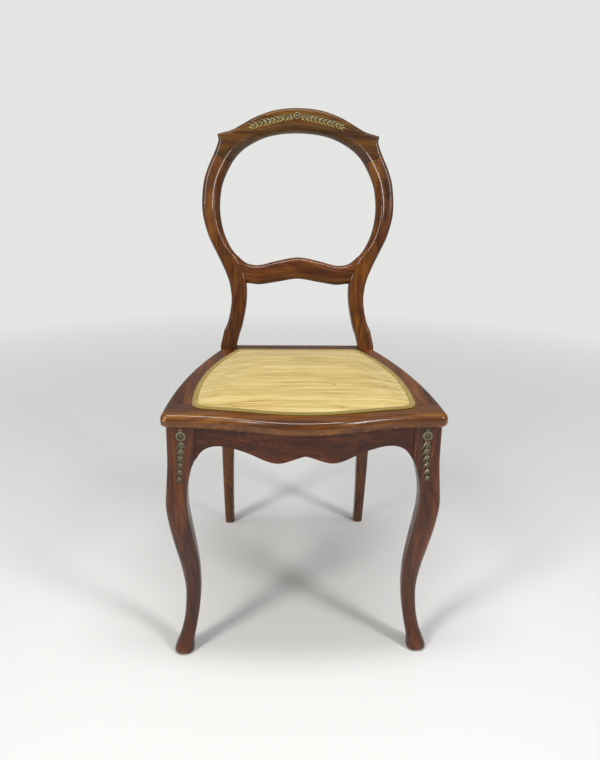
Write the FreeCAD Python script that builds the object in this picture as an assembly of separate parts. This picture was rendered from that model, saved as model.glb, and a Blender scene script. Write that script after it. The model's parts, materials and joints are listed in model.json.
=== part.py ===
"""Balloon back dining chair with cabriole front legs and a stuffed, braid-edged seat.

Millimetres, +Z up. The chair faces -Y and +X is the right-hand side in the front view.
The origin is on the floor under the middle of the chair's box.
"""
import FreeCAD
import Part
import math
import os

Vector = FreeCAD.Vector
SIDES = (("left", -1), ("right", 1))

# Overall sizes
SEAT_TOP = 448.0            # top of the wooden seat frame above the floor
SEAT_THICKNESS = 21.0
SEAT_HALF_WIDTH = 219.0     # at the front corners
SEAT_REAR_HALF_WIDTH = 159.0
SEAT_CORNER_FRONT = -201.0  # y of the front corners
SEAT_BOW = 33.0             # how far the middle of the front stands ahead of the corners
BACK_HEIGHT = 460.0         # seat top to the highest point of the crest
BACK_HALF_WIDTH = 190.2     # at the widest part of the hoop
BACK_RAKE = 10.1            # degrees that the back leans from upright

# Back frame
BACK_THICKNESS = 24.0
POST_DEPTH = 27.0           # front to back at the seat
POST_MIDDLE = 173.0         # y of the middle of the post at the seat top
POST_INNER = 124.0          # half width between the posts at the seat
POST_WIDTH = 33.0
FOOT_INNER = 141.5          # half width between the rear feet
FOOT_WIDTH = 21.0
REAR_FOOT_DEPTH = 21.0
REAR_SPLAY = 66.0           # how far the rear foot stands behind the seat post
RIDGE_FROM_INNER = 11.0     # raised line of the moulding, from the opening
MID_RAIL_THICKNESS = 22.0

# Seat frame
EDGE_ROUND_TOP = 10.0
EDGE_BEVEL_BOTTOM = 3.5
SEAT_CORNER_RADIUS = 12.0
BOW_HALF = 75.0             # the bow is convex this far from the middle, then hollow
BOW_SHARE = 0.35            # part of the bow that the convex stretch takes
CANE_RAIL_FRONT = 62.0      # width of the frame round the old cane opening
CANE_RAIL_SIDE = 69.0
CANE_RAIL_REAR = 57.0
CANE_CORNER = 25.0
FRONT_SEAM = 46.0           # seam of the front rail behind the seat's front corners
REAR_SEAM = 48.0            # seam of the rear rail ahead of the post's middle

# Front legs and aprons
LEG_BLOCK = 42.5            # square of the leg at the top
LEG_INSET_SIDE = 8.5        # seat edge to the leg block
LEG_INSET_FRONT = 6.0
FOOT_BACK = 8.0             # the toe kicks out less forward than sideways
APRON_INSET = 11.0          # apron face behind the edge of the seat
APRON_THICKNESS = 20.0
APRON_DROP = 50.0           # seat underside to the lowest point of the front lobes
APRON_CUSP = 13.5           # height of the middle cusp above that point
APRON_ARCH = 19.0           # height of the arches beside the legs
SIDE_APRON_RISE = 9.0       # the side apron's straight edge above that point
REAR_APRON_DEPTH = 16.0
REAR_APRON_SET_IN = 3.5     # apron's back face ahead of the post's
REAR_APRON_DROP = 46.0
REAR_APRON_ARCH = 7.0
TENON_THICKNESS = 8.0
TENON_HEIGHT = 26.0
TENON_BELOW_SEAT = 5.0
FRONT_TENON = 20.0          # how deep the tenons go in the legs
REAR_TENON = 12.0           # and in the posts
BLOCK_HEIGHT = 32.0         # corner blocks
BLOCK_REACH = 40.0
BLOCK_NOSE = 20.0

# Fastenings and their clearances
DOWEL_RADIUS = 4.0
DOWEL_LENGTH = 30.0
DOWEL_GAP = 0.1
TENON_GAP = 0.1
SCREW_RADIUS = 2.0
SCREW_HEAD_RADIUS = 4.0
SCREW_LENGTH = 44.0
SCREW_GAP = 0.1
SCREW_HEAD_HEIGHT = 2.5
BLOCK_GAP = 0.5             # corner block to the post it is notched round

# Seat upholstery: margins are from the edge of the wooden seat to the braid
PAD_MARGIN_FRONT = 31.0
PAD_MARGIN_CORNER = 29.5
PAD_MARGIN_SIDE = 43.5
PAD_MARGIN_REAR_SIDE = 34.0
PAD_MARGIN_REAR = 32.0      # ahead of the post's middle
PAD_SIDE_FLARE = 5.7        # degrees that the pad's side opens at its front corner
PAD_CORNER_RADIUS = 24.0
PAD_REAR_RADIUS = 19.0
PAD_CROWN = 19.0            # top of the crown above the wood
COVER_THICKNESS = 1.0
COVER_MARGIN = 1.5          # braid beyond the turned edge of the cover
GIMP_WIDTH = 11.0
GIMP_HEIGHT = 2.4
GIMP_LAP = 2.0              # the crown starts this far under the braid's inner edge
WEB_WIDTH = 50.0
WEB_PITCH = 75.0
WEB_THICKNESS = 1.5
HESSIAN_THICKNESS = 0.8

# Brass mounts
MOUNT_RELIEF = 2.2
CREST_MOUNT_X = -4.0        # the crest mounts were nailed a little off the middle
ROSETTE_RADIUS = 6.4
ROSETTE_BELOW_TOP = 14.7
BRANCH_START = 9.0
BRANCH_REACH = 99.0
BRANCH_BELOW_ROSETTE = 3.8
BRANCH_FALL = 20.5
LEAF_LENGTH = 13.5
LEAF_WIDTH = 4.2
LEAF_PAIRS = 9
LEG_MOUNT_TOP = 27.5        # below the seat top
LEG_MOUNT_LENGTH = 88.0
LEG_MOUNT_WIDTH = 16.5
LEG_MOUNT_FROM_OUTER = 22.0  # leg's outer face to the middle of the flower
LEG_MOUNT_LEAN = 5.2        # the tip stands this much further out
LEG_HUSKS = 6

SEAT_UNDER = SEAT_TOP - SEAT_THICKNESS
SEAT_FRONT = SEAT_CORNER_FRONT - SEAT_BOW
POST_FRONT = POST_MIDDLE - POST_DEPTH / 2
POST_BACK = POST_MIDDLE + POST_DEPTH / 2
POST_OUTER = POST_INNER + POST_WIDTH
LEG_OUTER = SEAT_HALF_WIDTH - LEG_INSET_SIDE
LEG_INNER = LEG_OUTER - LEG_BLOCK
LEG_FRONT = SEAT_CORNER_FRONT + LEG_INSET_FRONT
LEG_BACK = LEG_FRONT + LEG_BLOCK
APRON_LOW = SEAT_UNDER - APRON_DROP
REAR_APRON_FRONT = POST_BACK - REAR_APRON_SET_IN - REAR_APRON_DEPTH
RAKE = math.radians(BACK_RAKE)
BACK_NORMAL = Vector(0, -math.cos(RAKE), math.sin(RAKE))


# Edges and simple solids

def line(a, b):
    return Part.LineSegment(Vector(*a), Vector(*b)).toShape()


def arc(a, b, c):
    return Part.Arc(Vector(*a), Vector(*b), Vector(*c)).toShape()


def curve(points):
    """Smooth edge through points."""
    spline = Part.BSplineCurve()
    spline.interpolate([Vector(*p) for p in points])
    return spline.toShape()


def arcs_through(start, heading, stops):
    """Tangent arcs in plan: each is its start, middle and end, with the heading there."""
    chain = []
    for stop in stops:
        dx, dy = stop[0] - start[0], stop[1] - start[1]
        turn = math.atan2(dy, dx) - heading
        bulge = math.tan(turn / 2) / 2
        middle = ((start[0] + stop[0]) / 2 + dy * bulge, (start[1] + stop[1]) / 2 - dx * bulge)
        chain.append(((start, heading), (middle, heading + turn), (stop, heading + 2 * turn)))
        start, heading = stop, heading + 2 * turn
    return chain


def rounded_corner(end, radius, heading):
    """Arc of a radius that carries on from the end of a chain until it has a new heading."""
    (x, y), before = end
    chord = 2 * radius * math.sin((heading - before) / 2)
    middle = (before + heading) / 2
    return arcs_through((x, y), before, [(x + chord * math.cos(middle), y + chord * math.sin(middle))])


def inset_edges(chain, inset, z):
    """Edges of a chain, moved inwards (to its left) by an inset."""
    def moved(place, heading):
        return (place[0] - inset * math.sin(heading), place[1] + inset * math.cos(heading), z)

    return [arc(*[moved(*stop) for stop in stops]) for stops in chain]


def closed(edges):
    return Part.Wire(Part.__sortEdges__(edges))


def slab(wires, direction):
    """Face of an outline, with any further outlines as holes, pushed along a direction."""
    return Part.makeFace(wires, "Part::FaceMakerBullseye").extrude(Vector(*direction))


def box(x0, x1, y0, y1, z0, z1):
    return Part.makeBox(x1 - x0, y1 - y0, z1 - z0, Vector(x0, y0, z0))


def rod(start, direction, radius, length):
    return Part.makeCylinder(radius, length, start, direction)


def mirrored(shape):
    return shape.mirror(Vector(0, 0, 0), Vector(1, 0, 0))


def biggest(shape):
    return max(shape.Solids, key=lambda s: s.Volume)


def cut_by(shape, *tools):
    """What is left of a solid, without loose slivers, after each tool has cut it."""
    for tool in tools:
        shape = shape.cut(tool)
    return biggest(shape)


def between(rows, steps):
    """Rows of numbers, with more put between each two on a smooth curve through them all."""
    last = len(rows) - 1
    out = []
    for i in range(last):
        four = [rows[min(max(i + k, 0), last)] for k in (-1, 0, 1, 2)]
        for k in range(steps):
            t = k / steps
            out.append([b + t / 2 * (c - a + t * (2 * a - 5 * b + 4 * c - d + t * (3 * b - a - 3 * c + d)))
                        for a, b, c, d in zip(*four)])
    return out + [list(rows[last])]


# Back frame. Its outline is drawn as half widths and rises above the seat for a back of the
# drawn size, and follows BACK_HALF_WIDTH and BACK_HEIGHT.
DRAWN_HALF_WIDTH = 190.2
DRAWN_HEIGHT = 460.0


def back_point(half_width, rise):
    """Point on the middle plane of the leaning back."""
    up = rise * BACK_HEIGHT / DRAWN_HEIGHT
    across = half_width * BACK_HALF_WIDTH / DRAWN_HALF_WIDTH
    return Vector(across, POST_MIDDLE + up * math.tan(RAKE), SEAT_TOP + up)


# Profiles across a rail, from its opening side to its outer side. Each point is a share of the
# width, an offset in mm, and a height as a share of half the thickness. ARCS numbers the points
# that are the middle of an arc.
RIDGE = RIDGE_FROM_INNER
PLAIN = ((0, 0, -1), (0, 0, 0.4), (0, 0.1, 0.45), (0, 1.8, 0.84), (0, 6, 1.0), (1, -6, 1.0),
         (1, -1.8, 0.82), (1, 0, 0.3), (1, 0, -1))
MOULDED = ((0, 0, -1), (0, 0, -0.1), (0, 0.7 * RIDGE, 0.95), (0, RIDGE, 1.08),
           (0, 1.35 * RIDGE, 0.92), (1, -6.5, 0.9), (1, -1.9, 0.6), (1, 0, 0.1), (1, 0, -1))
ARCS = (3, 6)
RAIL = ((0, 0, -1), (0, 0, 0.3), (0.12, 0, 0.8), (0.38, 0, 1.04), (0.62, 0, 1.04), (0.88, 0, 0.8),
        (1, 0, 0.3), (1, 0, -1))


def section(inner, outer, thickness, profile, arcs=ARCS, normal=BACK_NORMAL):
    """Closed wire across a rail."""
    width = (outer - inner).Length
    across = (outer - inner).normalize()
    p = [inner + across * (share * width + offset) + normal * (height * thickness / 2)
         for share, offset, height in profile]
    p.append(p[0])
    edges = []
    for i in range(1, len(p)):
        if i in arcs:
            edges.append(arc(p[i - 1], p[i], p[i + 1]))
        elif i - 1 not in arcs:
            edges.append(line(p[i - 1], p[i]))
    return Part.Wire(edges)


def moulding(amount):
    """Profile between the plain rail (0) and the moulded one (1)."""
    return [[a + (b - a) * amount for a, b in zip(plain, moulded)]
            for plain, moulded in zip(PLAIN, MOULDED)]


# Post above the seat: opening side (half width, rise), outer side, amount of moulding
POST_ROWS = (
    (118.5, 26, 149.5, 34, 0.0),
    (112.0, 46, 140.5, 55, 0.0),
    (103.8, 90, 134.2, 91, 0.0),
    (103.7, 128, 136.3, 120, 0.0),
    (109.5, 154, 142.5, 142, 0.1),
    (121.5, 179, 153.5, 167, 0.3),
    (136.0, 199, 164.0, 188, 0.6),
    (149.5, 230, 179.7, 222, 0.9),
    (155.8, 268, 190.2, 266, 1.0),
    (153.0, 307, 188.0, 314, 1.0),
    (145.2, 333, 179.0, 345, 1.0),
    (132.3, 358, 163.5, 373, 1.0),
)
REAR_LEG_STEPS = 7


def back_post():
    """Right post: splayed rear leg and curved stile in one piece."""
    wires = []
    forward = Vector(0, -1, 0)
    for i in range(REAR_LEG_STEPS):
        share = i / REAR_LEG_STEPS
        inner = FOOT_INNER + (POST_INNER - FOOT_INNER) * share ** 1.6
        foot_outer = FOOT_INNER + FOOT_WIDTH
        outer = foot_outer + (POST_OUTER - foot_outer) * share ** 2 + 6.0 * share * (1 - share)
        depth = REAR_FOOT_DEPTH + (POST_DEPTH - REAR_FOOT_DEPTH) * share
        y = POST_MIDDLE + REAR_SPLAY * (1 - share) ** 1.3
        z = share * SEAT_UNDER
        wires.append(section(Vector(inner, y, z), Vector(outer, y, z), depth, PLAIN, normal=forward))
    for z in (SEAT_UNDER, SEAT_TOP):
        inner = Vector(POST_INNER, POST_MIDDLE, z)
        outer = Vector(POST_OUTER, POST_MIDDLE, z)
        wires.append(section(inner, outer, POST_DEPTH, PLAIN, normal=forward))
    for x0, z0, x1, z1, amount in POST_ROWS[:3] + tuple(between(POST_ROWS[3:], 2)):
        wires.append(section(back_point(x0, z0), back_point(x1, z1), BACK_THICKNESS, moulding(amount)))
    return Part.makeLoft(wires, True, True)


# Crest from the post joint to the middle: opening side, then the shoulder, ear and arched top
CREST_ROWS = (
    POST_ROWS[-1][:4],
    (127.3, 365.0, 158.0, 388.0),
    (122.3, 370.6, 155.5, 399.0),
    (118.0, 374.2, 157.5, 408.5),
    (114.8, 376.7, 153.0, 411.0),
    (107.5, 382.0, 131.0, 418.0),
    (96.0, 390.0, 113.5, 427.3),
    (84.0, 396.9, 96.0, 437.0),
    (72.0, 402.5, 80.0, 444.7),
    (55.0, 408.0, 60.5, 451.8),
    (38.0, 412.0, 41.0, 456.6),
    (19.0, 414.3, 20.5, 459.3),
    (0.0, 415.0, 0.0, 460.0),
)
CREST_EAR = 157.5


def both_ways(rows, columns):
    """Rows of the left half, mirrored in the given columns, then those of the right half."""
    left = [[-v if i in columns else v for i, v in enumerate(row)] for row in rows[:-1]]
    return left + list(rows)[::-1]


def crest_rail():
    """Arched crest with an ear at each shoulder."""
    wires = [section(back_point(x0, z0), back_point(x1, z1), BACK_THICKNESS, MOULDED)
             for x0, z0, x1, z1 in both_ways(CREST_ROWS, (0, 2))]
    return Part.makeLoft(wires, True, True)


# Mid rail from inside the post to the middle: top (half width, rise), bottom
MID_ROWS = (
    (140.0, 190.0, 118.0, 130.0),
    (125.5, 184.5, 104.0, 128.0),
    (104.0, 167.5, 95.0, 127.0),
    (78.0, 163.5, 76.0, 125.5),
    (42.0, 172.0, 40.0, 131.0),
    (0.0, 179.0, 0.0, 137.0),
)


def mid_rail(posts):
    """Arched rail, scribed to the posts."""
    wires = [section(back_point(x0, z0), back_point(x1, z1), MID_RAIL_THICKNESS, RAIL, ())
             for x0, z0, x1, z1 in both_ways(MID_ROWS, (0, 2))]
    return cut_by(Part.makeLoft(wires, True, True), *posts)


# Seat frame

def front_chain(half, front, corner, bow_share):
    """Right half of a bowed front edge, from its middle to the corner."""
    bend = (BOW_HALF * half / SEAT_HALF_WIDTH, front + bow_share * (corner - front))
    return arcs_through((0.0, front), 0.0, [bend, (half, corner)])


def seat_chains():
    """Right half of the seat's front edge, and its right side."""
    front = front_chain(SEAT_HALF_WIDTH, SEAT_FRONT, SEAT_CORNER_FRONT, BOW_SHARE)
    side = arcs_through((SEAT_HALF_WIDTH, SEAT_CORNER_FRONT), math.radians(90),
                        [(SEAT_REAR_HALF_WIDTH, POST_FRONT)])
    return front, side


def seat_board():
    """Whole seat frame before it is cut into its four rails."""
    front, side = seat_chains()
    right = inset_edges(front + side, 0.0, SEAT_UNDER)
    half = SEAT_REAR_HALF_WIDTH
    rear = line((-half, POST_FRONT, SEAT_UNDER), (half, POST_FRONT, SEAT_UNDER))
    outline = closed(right + [mirrored(edge) for edge in right] + [rear])
    board = slab([outline], (0, 0, SEAT_THICKNESS))
    corners = [e for e in board.Edges if e.BoundBox.ZLength > SEAT_THICKNESS - 1
               and e.BoundBox.YMax < SEAT_CORNER_FRONT + 1]
    board = board.makeFillet(SEAT_CORNER_RADIUS, corners)
    board = board.makeFillet(EDGE_ROUND_TOP, rim_edges(board, SEAT_TOP))
    board = board.makeChamfer(EDGE_BEVEL_BOTTOM, rim_edges(board, SEAT_UNDER))
    tail = box(-POST_INNER, POST_INNER, POST_FRONT - 1, POST_BACK, SEAT_UNDER, SEAT_TOP)
    return board.fuse(tail).removeSplitter()


def rim_edges(board, z):
    """Edges of the front and sides at a height."""
    return [e for e in board.Edges if abs(e.BoundBox.ZMin - z) < 0.01
            and abs(e.BoundBox.ZMax - z) < 0.01 and e.BoundBox.YMin < POST_FRONT - 1]


def cane_opening():
    """The old cane opening under the stuffing."""
    z = SEAT_UNDER - 1
    front, rear = SEAT_FRONT + CANE_RAIL_FRONT, POST_MIDDLE - CANE_RAIL_REAR
    front_half, rear_half = SEAT_HALF_WIDTH - CANE_RAIL_SIDE, SEAT_REAR_HALF_WIDTH - CANE_RAIL_SIDE
    ring = [Vector(front_half, front, z), Vector(rear_half, rear, z), Vector(-rear_half, rear, z),
            Vector(-front_half, front, z)]
    hole = slab([Part.makePolygon(ring + ring[:1])], (0, 0, SEAT_THICKNESS + 2))
    return hole.makeFillet(CANE_CORNER, [e for e in hole.Edges if e.BoundBox.ZLength > SEAT_THICKNESS])


def seat_rails(posts):
    board = seat_board().cut(cane_opening())
    for post in posts:
        board = board.cut(post)
    wide = SEAT_HALF_WIDTH + 20
    far = SEAT_FRONT - 20
    back = POST_BACK + 20
    seam = SEAT_CORNER_FRONT + FRONT_SEAM
    low, high = SEAT_UNDER - 1, SEAT_TOP + 1
    rear_zone = box(-POST_INNER, POST_INNER, POST_MIDDLE - REAR_SEAM, back, low, high)
    rails = {"seat_front_rail": board.common(box(-wide, wide, far, seam, low, high)),
             "seat_rear_rail": board.common(rear_zone)}
    for name, s in SIDES:
        zone = box(min(0, s * wide), max(0, s * wide), seam, back, low, high)
        rails["seat_" + name + "_rail"] = board.common(zone).cut(rear_zone)
    return {name: biggest(rail) for name, rail in rails.items()}


# Front legs: height as a share of the leg, inner and outer face in mm from the block's faces,
# and corner radius as a share of half the width
LEG_ROWS = (
    (0.000, 19.0, 5.0, 0.85), (0.014, 17.5, 8.4, 0.85), (0.050, 17.0, 3.0, 0.85),
    (0.090, 14.0, -3.5, 0.8), (0.140, 10.0, -8.8, 0.75), (0.200, 6.0, -12.5, 0.7),
    (0.290, 2.7, -14.2, 0.65), (0.390, 3.2, -9.8, 0.6), (0.490, 7.0, -2.8, 0.52),
    (0.590, 12.0, 3.6, 0.46), (0.680, 15.7, 6.8, 0.4), (0.755, 14.8, 4.8, 0.35),
    (0.825, 8.5, 2.4, 0.3), (0.880, 1.0, 1.0, 0.2), (1.000, 0.0, 0.0, 0.14),
)


def rounded_square(x0, x1, y0, y1, z, softness):
    half = Vector((x1 - x0) / 2, (y1 - y0) / 2, 0)
    middle = Vector((x0 + x1) / 2, (y0 + y1) / 2, z)
    r = softness * min(half.x, half.y)
    slant = r * math.sqrt(0.5)
    edges = []
    corners = [(1, -1), (1, 1), (-1, 1), (-1, -1)]
    ends = []
    for sx, sy in corners:
        centre = middle + Vector(sx * (half.x - r), sy * (half.y - r), 0)
        across, along = Vector(sx * r, 0, 0), Vector(0, sy * r, 0)
        first, last = (along, across) if sx * sy < 0 else (across, along)
        edges.append(arc(centre + first, centre + Vector(sx * slant, sy * slant, 0), centre + last))
        ends.append((centre + first, centre + last))
    straight = [line(ends[i][1], ends[(i + 1) % 4][0]) for i in range(4)]
    return Part.Wire([e for pair in zip(edges, straight) for e in pair])


def front_leg():
    """Right cabriole leg, sawn alike on both faces of a square blank."""
    wires = []
    for share, inner, outer, softness in LEG_ROWS:
        back = FOOT_BACK * max(0.0, 1 - share / 0.3) ** 2
        wires.append(rounded_square(LEG_INNER + inner, LEG_OUTER + outer,
                                    LEG_FRONT - outer + back, LEG_BACK - inner + back,
                                    share * SEAT_UNDER, softness))
    return Part.makeLoft(wires, True, True)


def apron_band(chain, both_sides):
    """Upright band under a stretch of the seat's edge, as deep as the lowest apron."""
    low = APRON_LOW - 20
    edges = []
    ends = []
    for inset in (APRON_INSET, APRON_INSET + APRON_THICKNESS):
        row = inset_edges(chain, inset, low)
        edges += row
        first, last = row[0].Vertexes[0].Point, row[-1].Vertexes[-1].Point
        if both_sides:
            edges += [mirrored(edge) for edge in row]
            first = Vector(-last.x, last.y, last.z)
        ends.append((first, last))
    (a, b), (c, d) = ends
    return slab([closed(edges + [line(a, c), line(b, d)])], (0, 0, SEAT_UNDER - low))


def front_apron(legs):
    """Front apron: arches by the legs, two lobes and a cusp in the middle."""
    arch = APRON_LOW + APRON_ARCH
    half = [(LEG_INNER + 6, APRON_LOW - 13), (LEG_INNER - 1, APRON_LOW - 4),
            (LEG_INNER - 10, APRON_LOW + 0.45 * APRON_ARCH), (LEG_INNER - 23, arch - 2.5),
            (LEG_INNER - 38, arch), (LEG_INNER - 57, APRON_LOW + 0.9 * APRON_ARCH),
            (0.46 * LEG_INNER, APRON_LOW + 0.45 * APRON_ARCH),
            (0.33 * LEG_INNER, APRON_LOW + 0.07 * APRON_ARCH), (0.25 * LEG_INNER, APRON_LOW),
            (0.16 * LEG_INNER, APRON_LOW + 0.2 * APRON_ARCH), (0.0, APRON_LOW + APRON_CUSP)]
    y = SEAT_FRONT - 10
    x, z = half[0]
    edges = [curve([(s * x, y, z) for x, z in half]) for s in (-1, 1)]
    edges += [line((s * x, y, z), (s * x, y, SEAT_UNDER)) for s in (-1, 1)]
    edges.append(line((-x, y, SEAT_UNDER), (x, y, SEAT_UNDER)))
    profile = slab([closed(edges)], (0, LEG_BACK - y, 0))
    return cut_by(apron_band(seat_chains()[0], True).common(profile), *legs)


def side_apron(leg, post):
    """Right side apron, following the side of the seat between leg and post."""
    start = LEG_BACK
    low = APRON_LOW + SIDE_APRON_RISE
    arch = APRON_LOW + APRON_ARCH
    points = [(start - 6, APRON_LOW - 13), (start + 1, APRON_LOW - 4), (start + 10, APRON_LOW + 8),
              (start + 23, arch - 2.5), (start + 40, arch), (start + 110, low + 4),
              (start + 200, low), (POST_MIDDLE, low - 4)]
    x = SEAT_HALF_WIDTH
    (first, foot), (last, heel) = points[0], points[-1]
    edges = [curve([(x, y, z) for y, z in points]),
             line((x, first, foot), (x, first, SEAT_UNDER)),
             line((x, last, heel), (x, last, SEAT_UNDER)),
             line((x, first, SEAT_UNDER), (x, last, SEAT_UNDER))]
    profile = slab([closed(edges)], (-x, 0, 0))
    return cut_by(apron_band(seat_chains()[1], False).common(profile), leg, post)


def rear_apron(posts):
    low = SEAT_UNDER - REAR_APRON_DROP
    back = REAR_APRON_FRONT + REAR_APRON_DEPTH
    apron = box(-POST_OUTER, POST_OUTER, REAR_APRON_FRONT, back, low, SEAT_UNDER)
    radius = POST_INNER ** 2 / (2 * REAR_APRON_ARCH)
    centre = Vector(0, REAR_APRON_FRONT - 1, low + REAR_APRON_ARCH - radius)
    arch = Part.makeCylinder(radius, REAR_APRON_DEPTH + 2, centre, Vector(0, 1, 0))
    return cut_by(apron, arch, *posts)


# Corner blocks, screws and dowels

def corner_block(front, neighbours):
    """Glued block in the right-hand corner behind the leg, or ahead of the post."""
    z = SEAT_UNDER - BLOCK_HEIGHT
    middle = APRON_THICKNESS / 2
    if front:
        x = LEG_OUTER - middle
        y = LEG_FRONT + middle
        reach = LEG_BLOCK + BLOCK_REACH - middle
        corners = [(x, y), (x - reach, y), (x - reach, y + BLOCK_NOSE),
                   (x - BLOCK_NOSE, y + reach), (x, y + reach)]
        notch = box(LEG_INNER - BLOCK_GAP, x + 9, y - 9, LEG_BACK + BLOCK_GAP, 0, SEAT_TOP)
    else:
        x = SEAT_REAR_HALF_WIDTH - APRON_INSET - middle
        y = REAR_APRON_FRONT + REAR_APRON_DEPTH / 2
        reach = x - POST_INNER + BLOCK_REACH
        lean = 0.33 * reach
        shelf = BLOCK_NOSE + REAR_APRON_DEPTH / 2
        corners = [(x, y), (x - reach, y), (x - reach, y - shelf),
                   (x + lean - BLOCK_NOSE - middle, y - reach), (x + lean, y - reach)]
        notch = box(POST_INNER - BLOCK_GAP, POST_OUTER, POST_FRONT - BLOCK_GAP, POST_BACK, 0, SEAT_TOP)
    ring = [Vector(a, b, z) for a, b in corners]
    block = slab([Part.makePolygon(ring + ring[:1])], (0, 0, BLOCK_HEIGHT))
    return cut_by(block, notch, *neighbours)


def wood_screw(place, gap=0.0):
    """Upright round-headed screw under a place, or with a gap the hole for its shank."""
    up = Vector(0, 0, 1)
    shank = rod(place, up, SCREW_RADIUS + gap, SCREW_LENGTH + gap)
    if gap:
        return shank
    head = rod(place - up * SCREW_HEAD_HEIGHT, up, SCREW_HEAD_RADIUS, SCREW_HEAD_HEIGHT)
    return shank.fuse(head).removeSplitter()


def dowel(middle, direction, gap=0.0):
    along = Vector(direction).normalize()
    return rod(middle - along * (DOWEL_LENGTH / 2 + gap), along, DOWEL_RADIUS + gap, DOWEL_LENGTH + 2 * gap)


# Seat upholstery

PAD_FRONT = SEAT_FRONT + PAD_MARGIN_FRONT
PAD_CORNER = SEAT_CORNER_FRONT + PAD_MARGIN_CORNER
PAD_HALF_WIDTH = SEAT_HALF_WIDTH - PAD_MARGIN_SIDE
PAD_REAR_HALF_WIDTH = SEAT_REAR_HALF_WIDTH - PAD_MARGIN_REAR_SIDE
PAD_REAR = POST_MIDDLE - PAD_MARGIN_REAR
PAD_BOW_SHARE = 0.22
# Crown from its edge inwards: distance from the edge as a share of the half width, and height
# as a share of the crown
CROWN_SIDES = 64
CROWN = ((0.0, 0.0), (0.003, 0.4), (0.02, 0.63), (0.08, 0.75), (0.35, 0.92), (0.68, 1.0))


def braid_chain():
    """Right half of the braid's outline on the wood, with its corners rounded."""
    bow, wing = front_chain(PAD_HALF_WIDTH, PAD_FRONT, PAD_CORNER, PAD_BOW_SHARE)
    (x, y), heading = wing[-1]
    shorter = (x - PAD_CORNER_RADIUS * math.cos(heading), y - PAD_CORNER_RADIUS * math.sin(heading))
    chain = [bow] + arcs_through(*bow[-1], [shorter])
    chain += rounded_corner(chain[-1][-1], PAD_CORNER_RADIUS, math.radians(90 - PAD_SIDE_FLARE))
    chain += arcs_through(*chain[-1][-1], [(PAD_REAR_HALF_WIDTH, PAD_REAR)])
    return chain + rounded_corner(chain[-1][-1], PAD_REAR_RADIUS, math.radians(180))


def braid_outline(inset):
    """Outline of the braid on the wood, or of what lies inside it by an inset."""
    right = inset_edges(braid_chain(), inset, SEAT_TOP)
    end = right[-1].Vertexes[-1].Point
    return closed(right + [mirrored(edge) for edge in right] + [line(end, Vector(-end.x, end.y, end.z))])


def plate(outer, inner, z0, z1):
    """Flat ring between two insets of the braid's outline, or a whole plate without the inner one."""
    ring = slab([braid_outline(inset) for inset in (outer, inner) if inset is not None], (0, 0, z1 - z0))
    ring.translate(Vector(0, 0, z0 - SEAT_TOP))
    return ring


def crown(inset, height):
    """Crowned pad above the wood."""
    points = braid_outline(inset).discretize(CROWN_SIDES + 1)
    points[-1] = points[0]
    middle = Vector(0, (PAD_FRONT + PAD_REAR) / 2, SEAT_TOP)
    wires = []
    for share, rise in CROWN:
        ring = Part.makePolygon(points)
        ring.scale(1 - share, middle)
        ring.translate(Vector(0, 0, rise * height))
        wires.append(ring)
    return Part.makeLoft(wires, True, True)


def webbing(lengthwise, z):
    """Jute strips tacked across the old cane opening."""
    zone = plate(GIMP_WIDTH + 4, None, z, z + WEB_THICKNESS)
    far = SEAT_HALF_WIDTH
    half = WEB_WIDTH / 2
    strips = []
    for i in (-1, 0, 1):
        if lengthwise:
            strip = box(i * WEB_PITCH - half, i * WEB_PITCH + half, -far, far, z, z + WEB_THICKNESS)
        else:
            middle = (PAD_FRONT + PAD_REAR) / 2 + i * WEB_PITCH
            strip = box(-far, far, middle - half, middle + half, z, z + WEB_THICKNESS)
        strips += strip.common(zone).Solids
    return Part.makeCompound(strips)


def upholstery():
    base = SEAT_TOP
    edge = GIMP_WIDTH - GIMP_LAP
    web_top = base + 2 * WEB_THICKNESS
    cloth_top = web_top + HESSIAN_THICKNESS
    outer = crown(edge, PAD_CROWN)
    lining = crown(edge + COVER_THICKNESS, PAD_CROWN - COVER_THICKNESS)
    flange = plate(COVER_MARGIN, edge + COVER_THICKNESS / 2, base, base + COVER_THICKNESS)
    braid = plate(0, GIMP_WIDTH, base, base + GIMP_HEIGHT)
    return {
        "webbing_lengthwise": webbing(True, base),
        "webbing_crosswise": webbing(False, base + WEB_THICKNESS),
        "hessian_cloth": plate(GIMP_WIDTH + 3, None, web_top, cloth_top),
        "seat_stuffing": cut_by(lining, plate(0, None, base - 1, cloth_top)),
        "seat_cover": cut_by(outer, lining).fuse(flange).removeSplitter(),
        "gimp_braid": cut_by(braid, outer, flange),
    }


# Brass mounts

def leaf(foot, direction, length, width, low, high, normal=BACK_NORMAL):
    """Pointed leaf, widest before its middle, standing from low to high along the normal."""
    along = Vector(direction).normalize()
    aside = normal.cross(along).normalize() * (width / 2)
    base = foot + normal * low
    belly = base + along * (0.4 * length)
    ring = [base, belly + aside, base + along * length, belly - aside, base]
    return slab([Part.makePolygon(ring)], normal * (high - low))


# Flower of a mount: radius and height as shares, from its rim over a raised ring to its boss
FLOWER = ((1.0, 0.0), (1.0, 0.6), (0.8, 1.0), (0.5, 0.55), (0.27, 0.65), (0.2, 1.1))
FLOWER_SIDES = 12


def rosette(middle, normal, radius, low, high):
    side = normal.cross(Vector(1, 0, 0)).normalize()
    aside = normal.cross(side)
    turns = [2 * math.pi * i / FLOWER_SIDES for i in range(FLOWER_SIDES)]
    wires = []
    for share, rise in FLOWER:
        centre = middle + normal * (low + rise * (high - low))
        ring = [centre + (side * math.cos(t) + aside * math.sin(t)) * (radius * share) for t in turns]
        wires.append(Part.makePolygon(ring + ring[:1]))
    return Part.makeLoft(wires, True, True)


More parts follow.
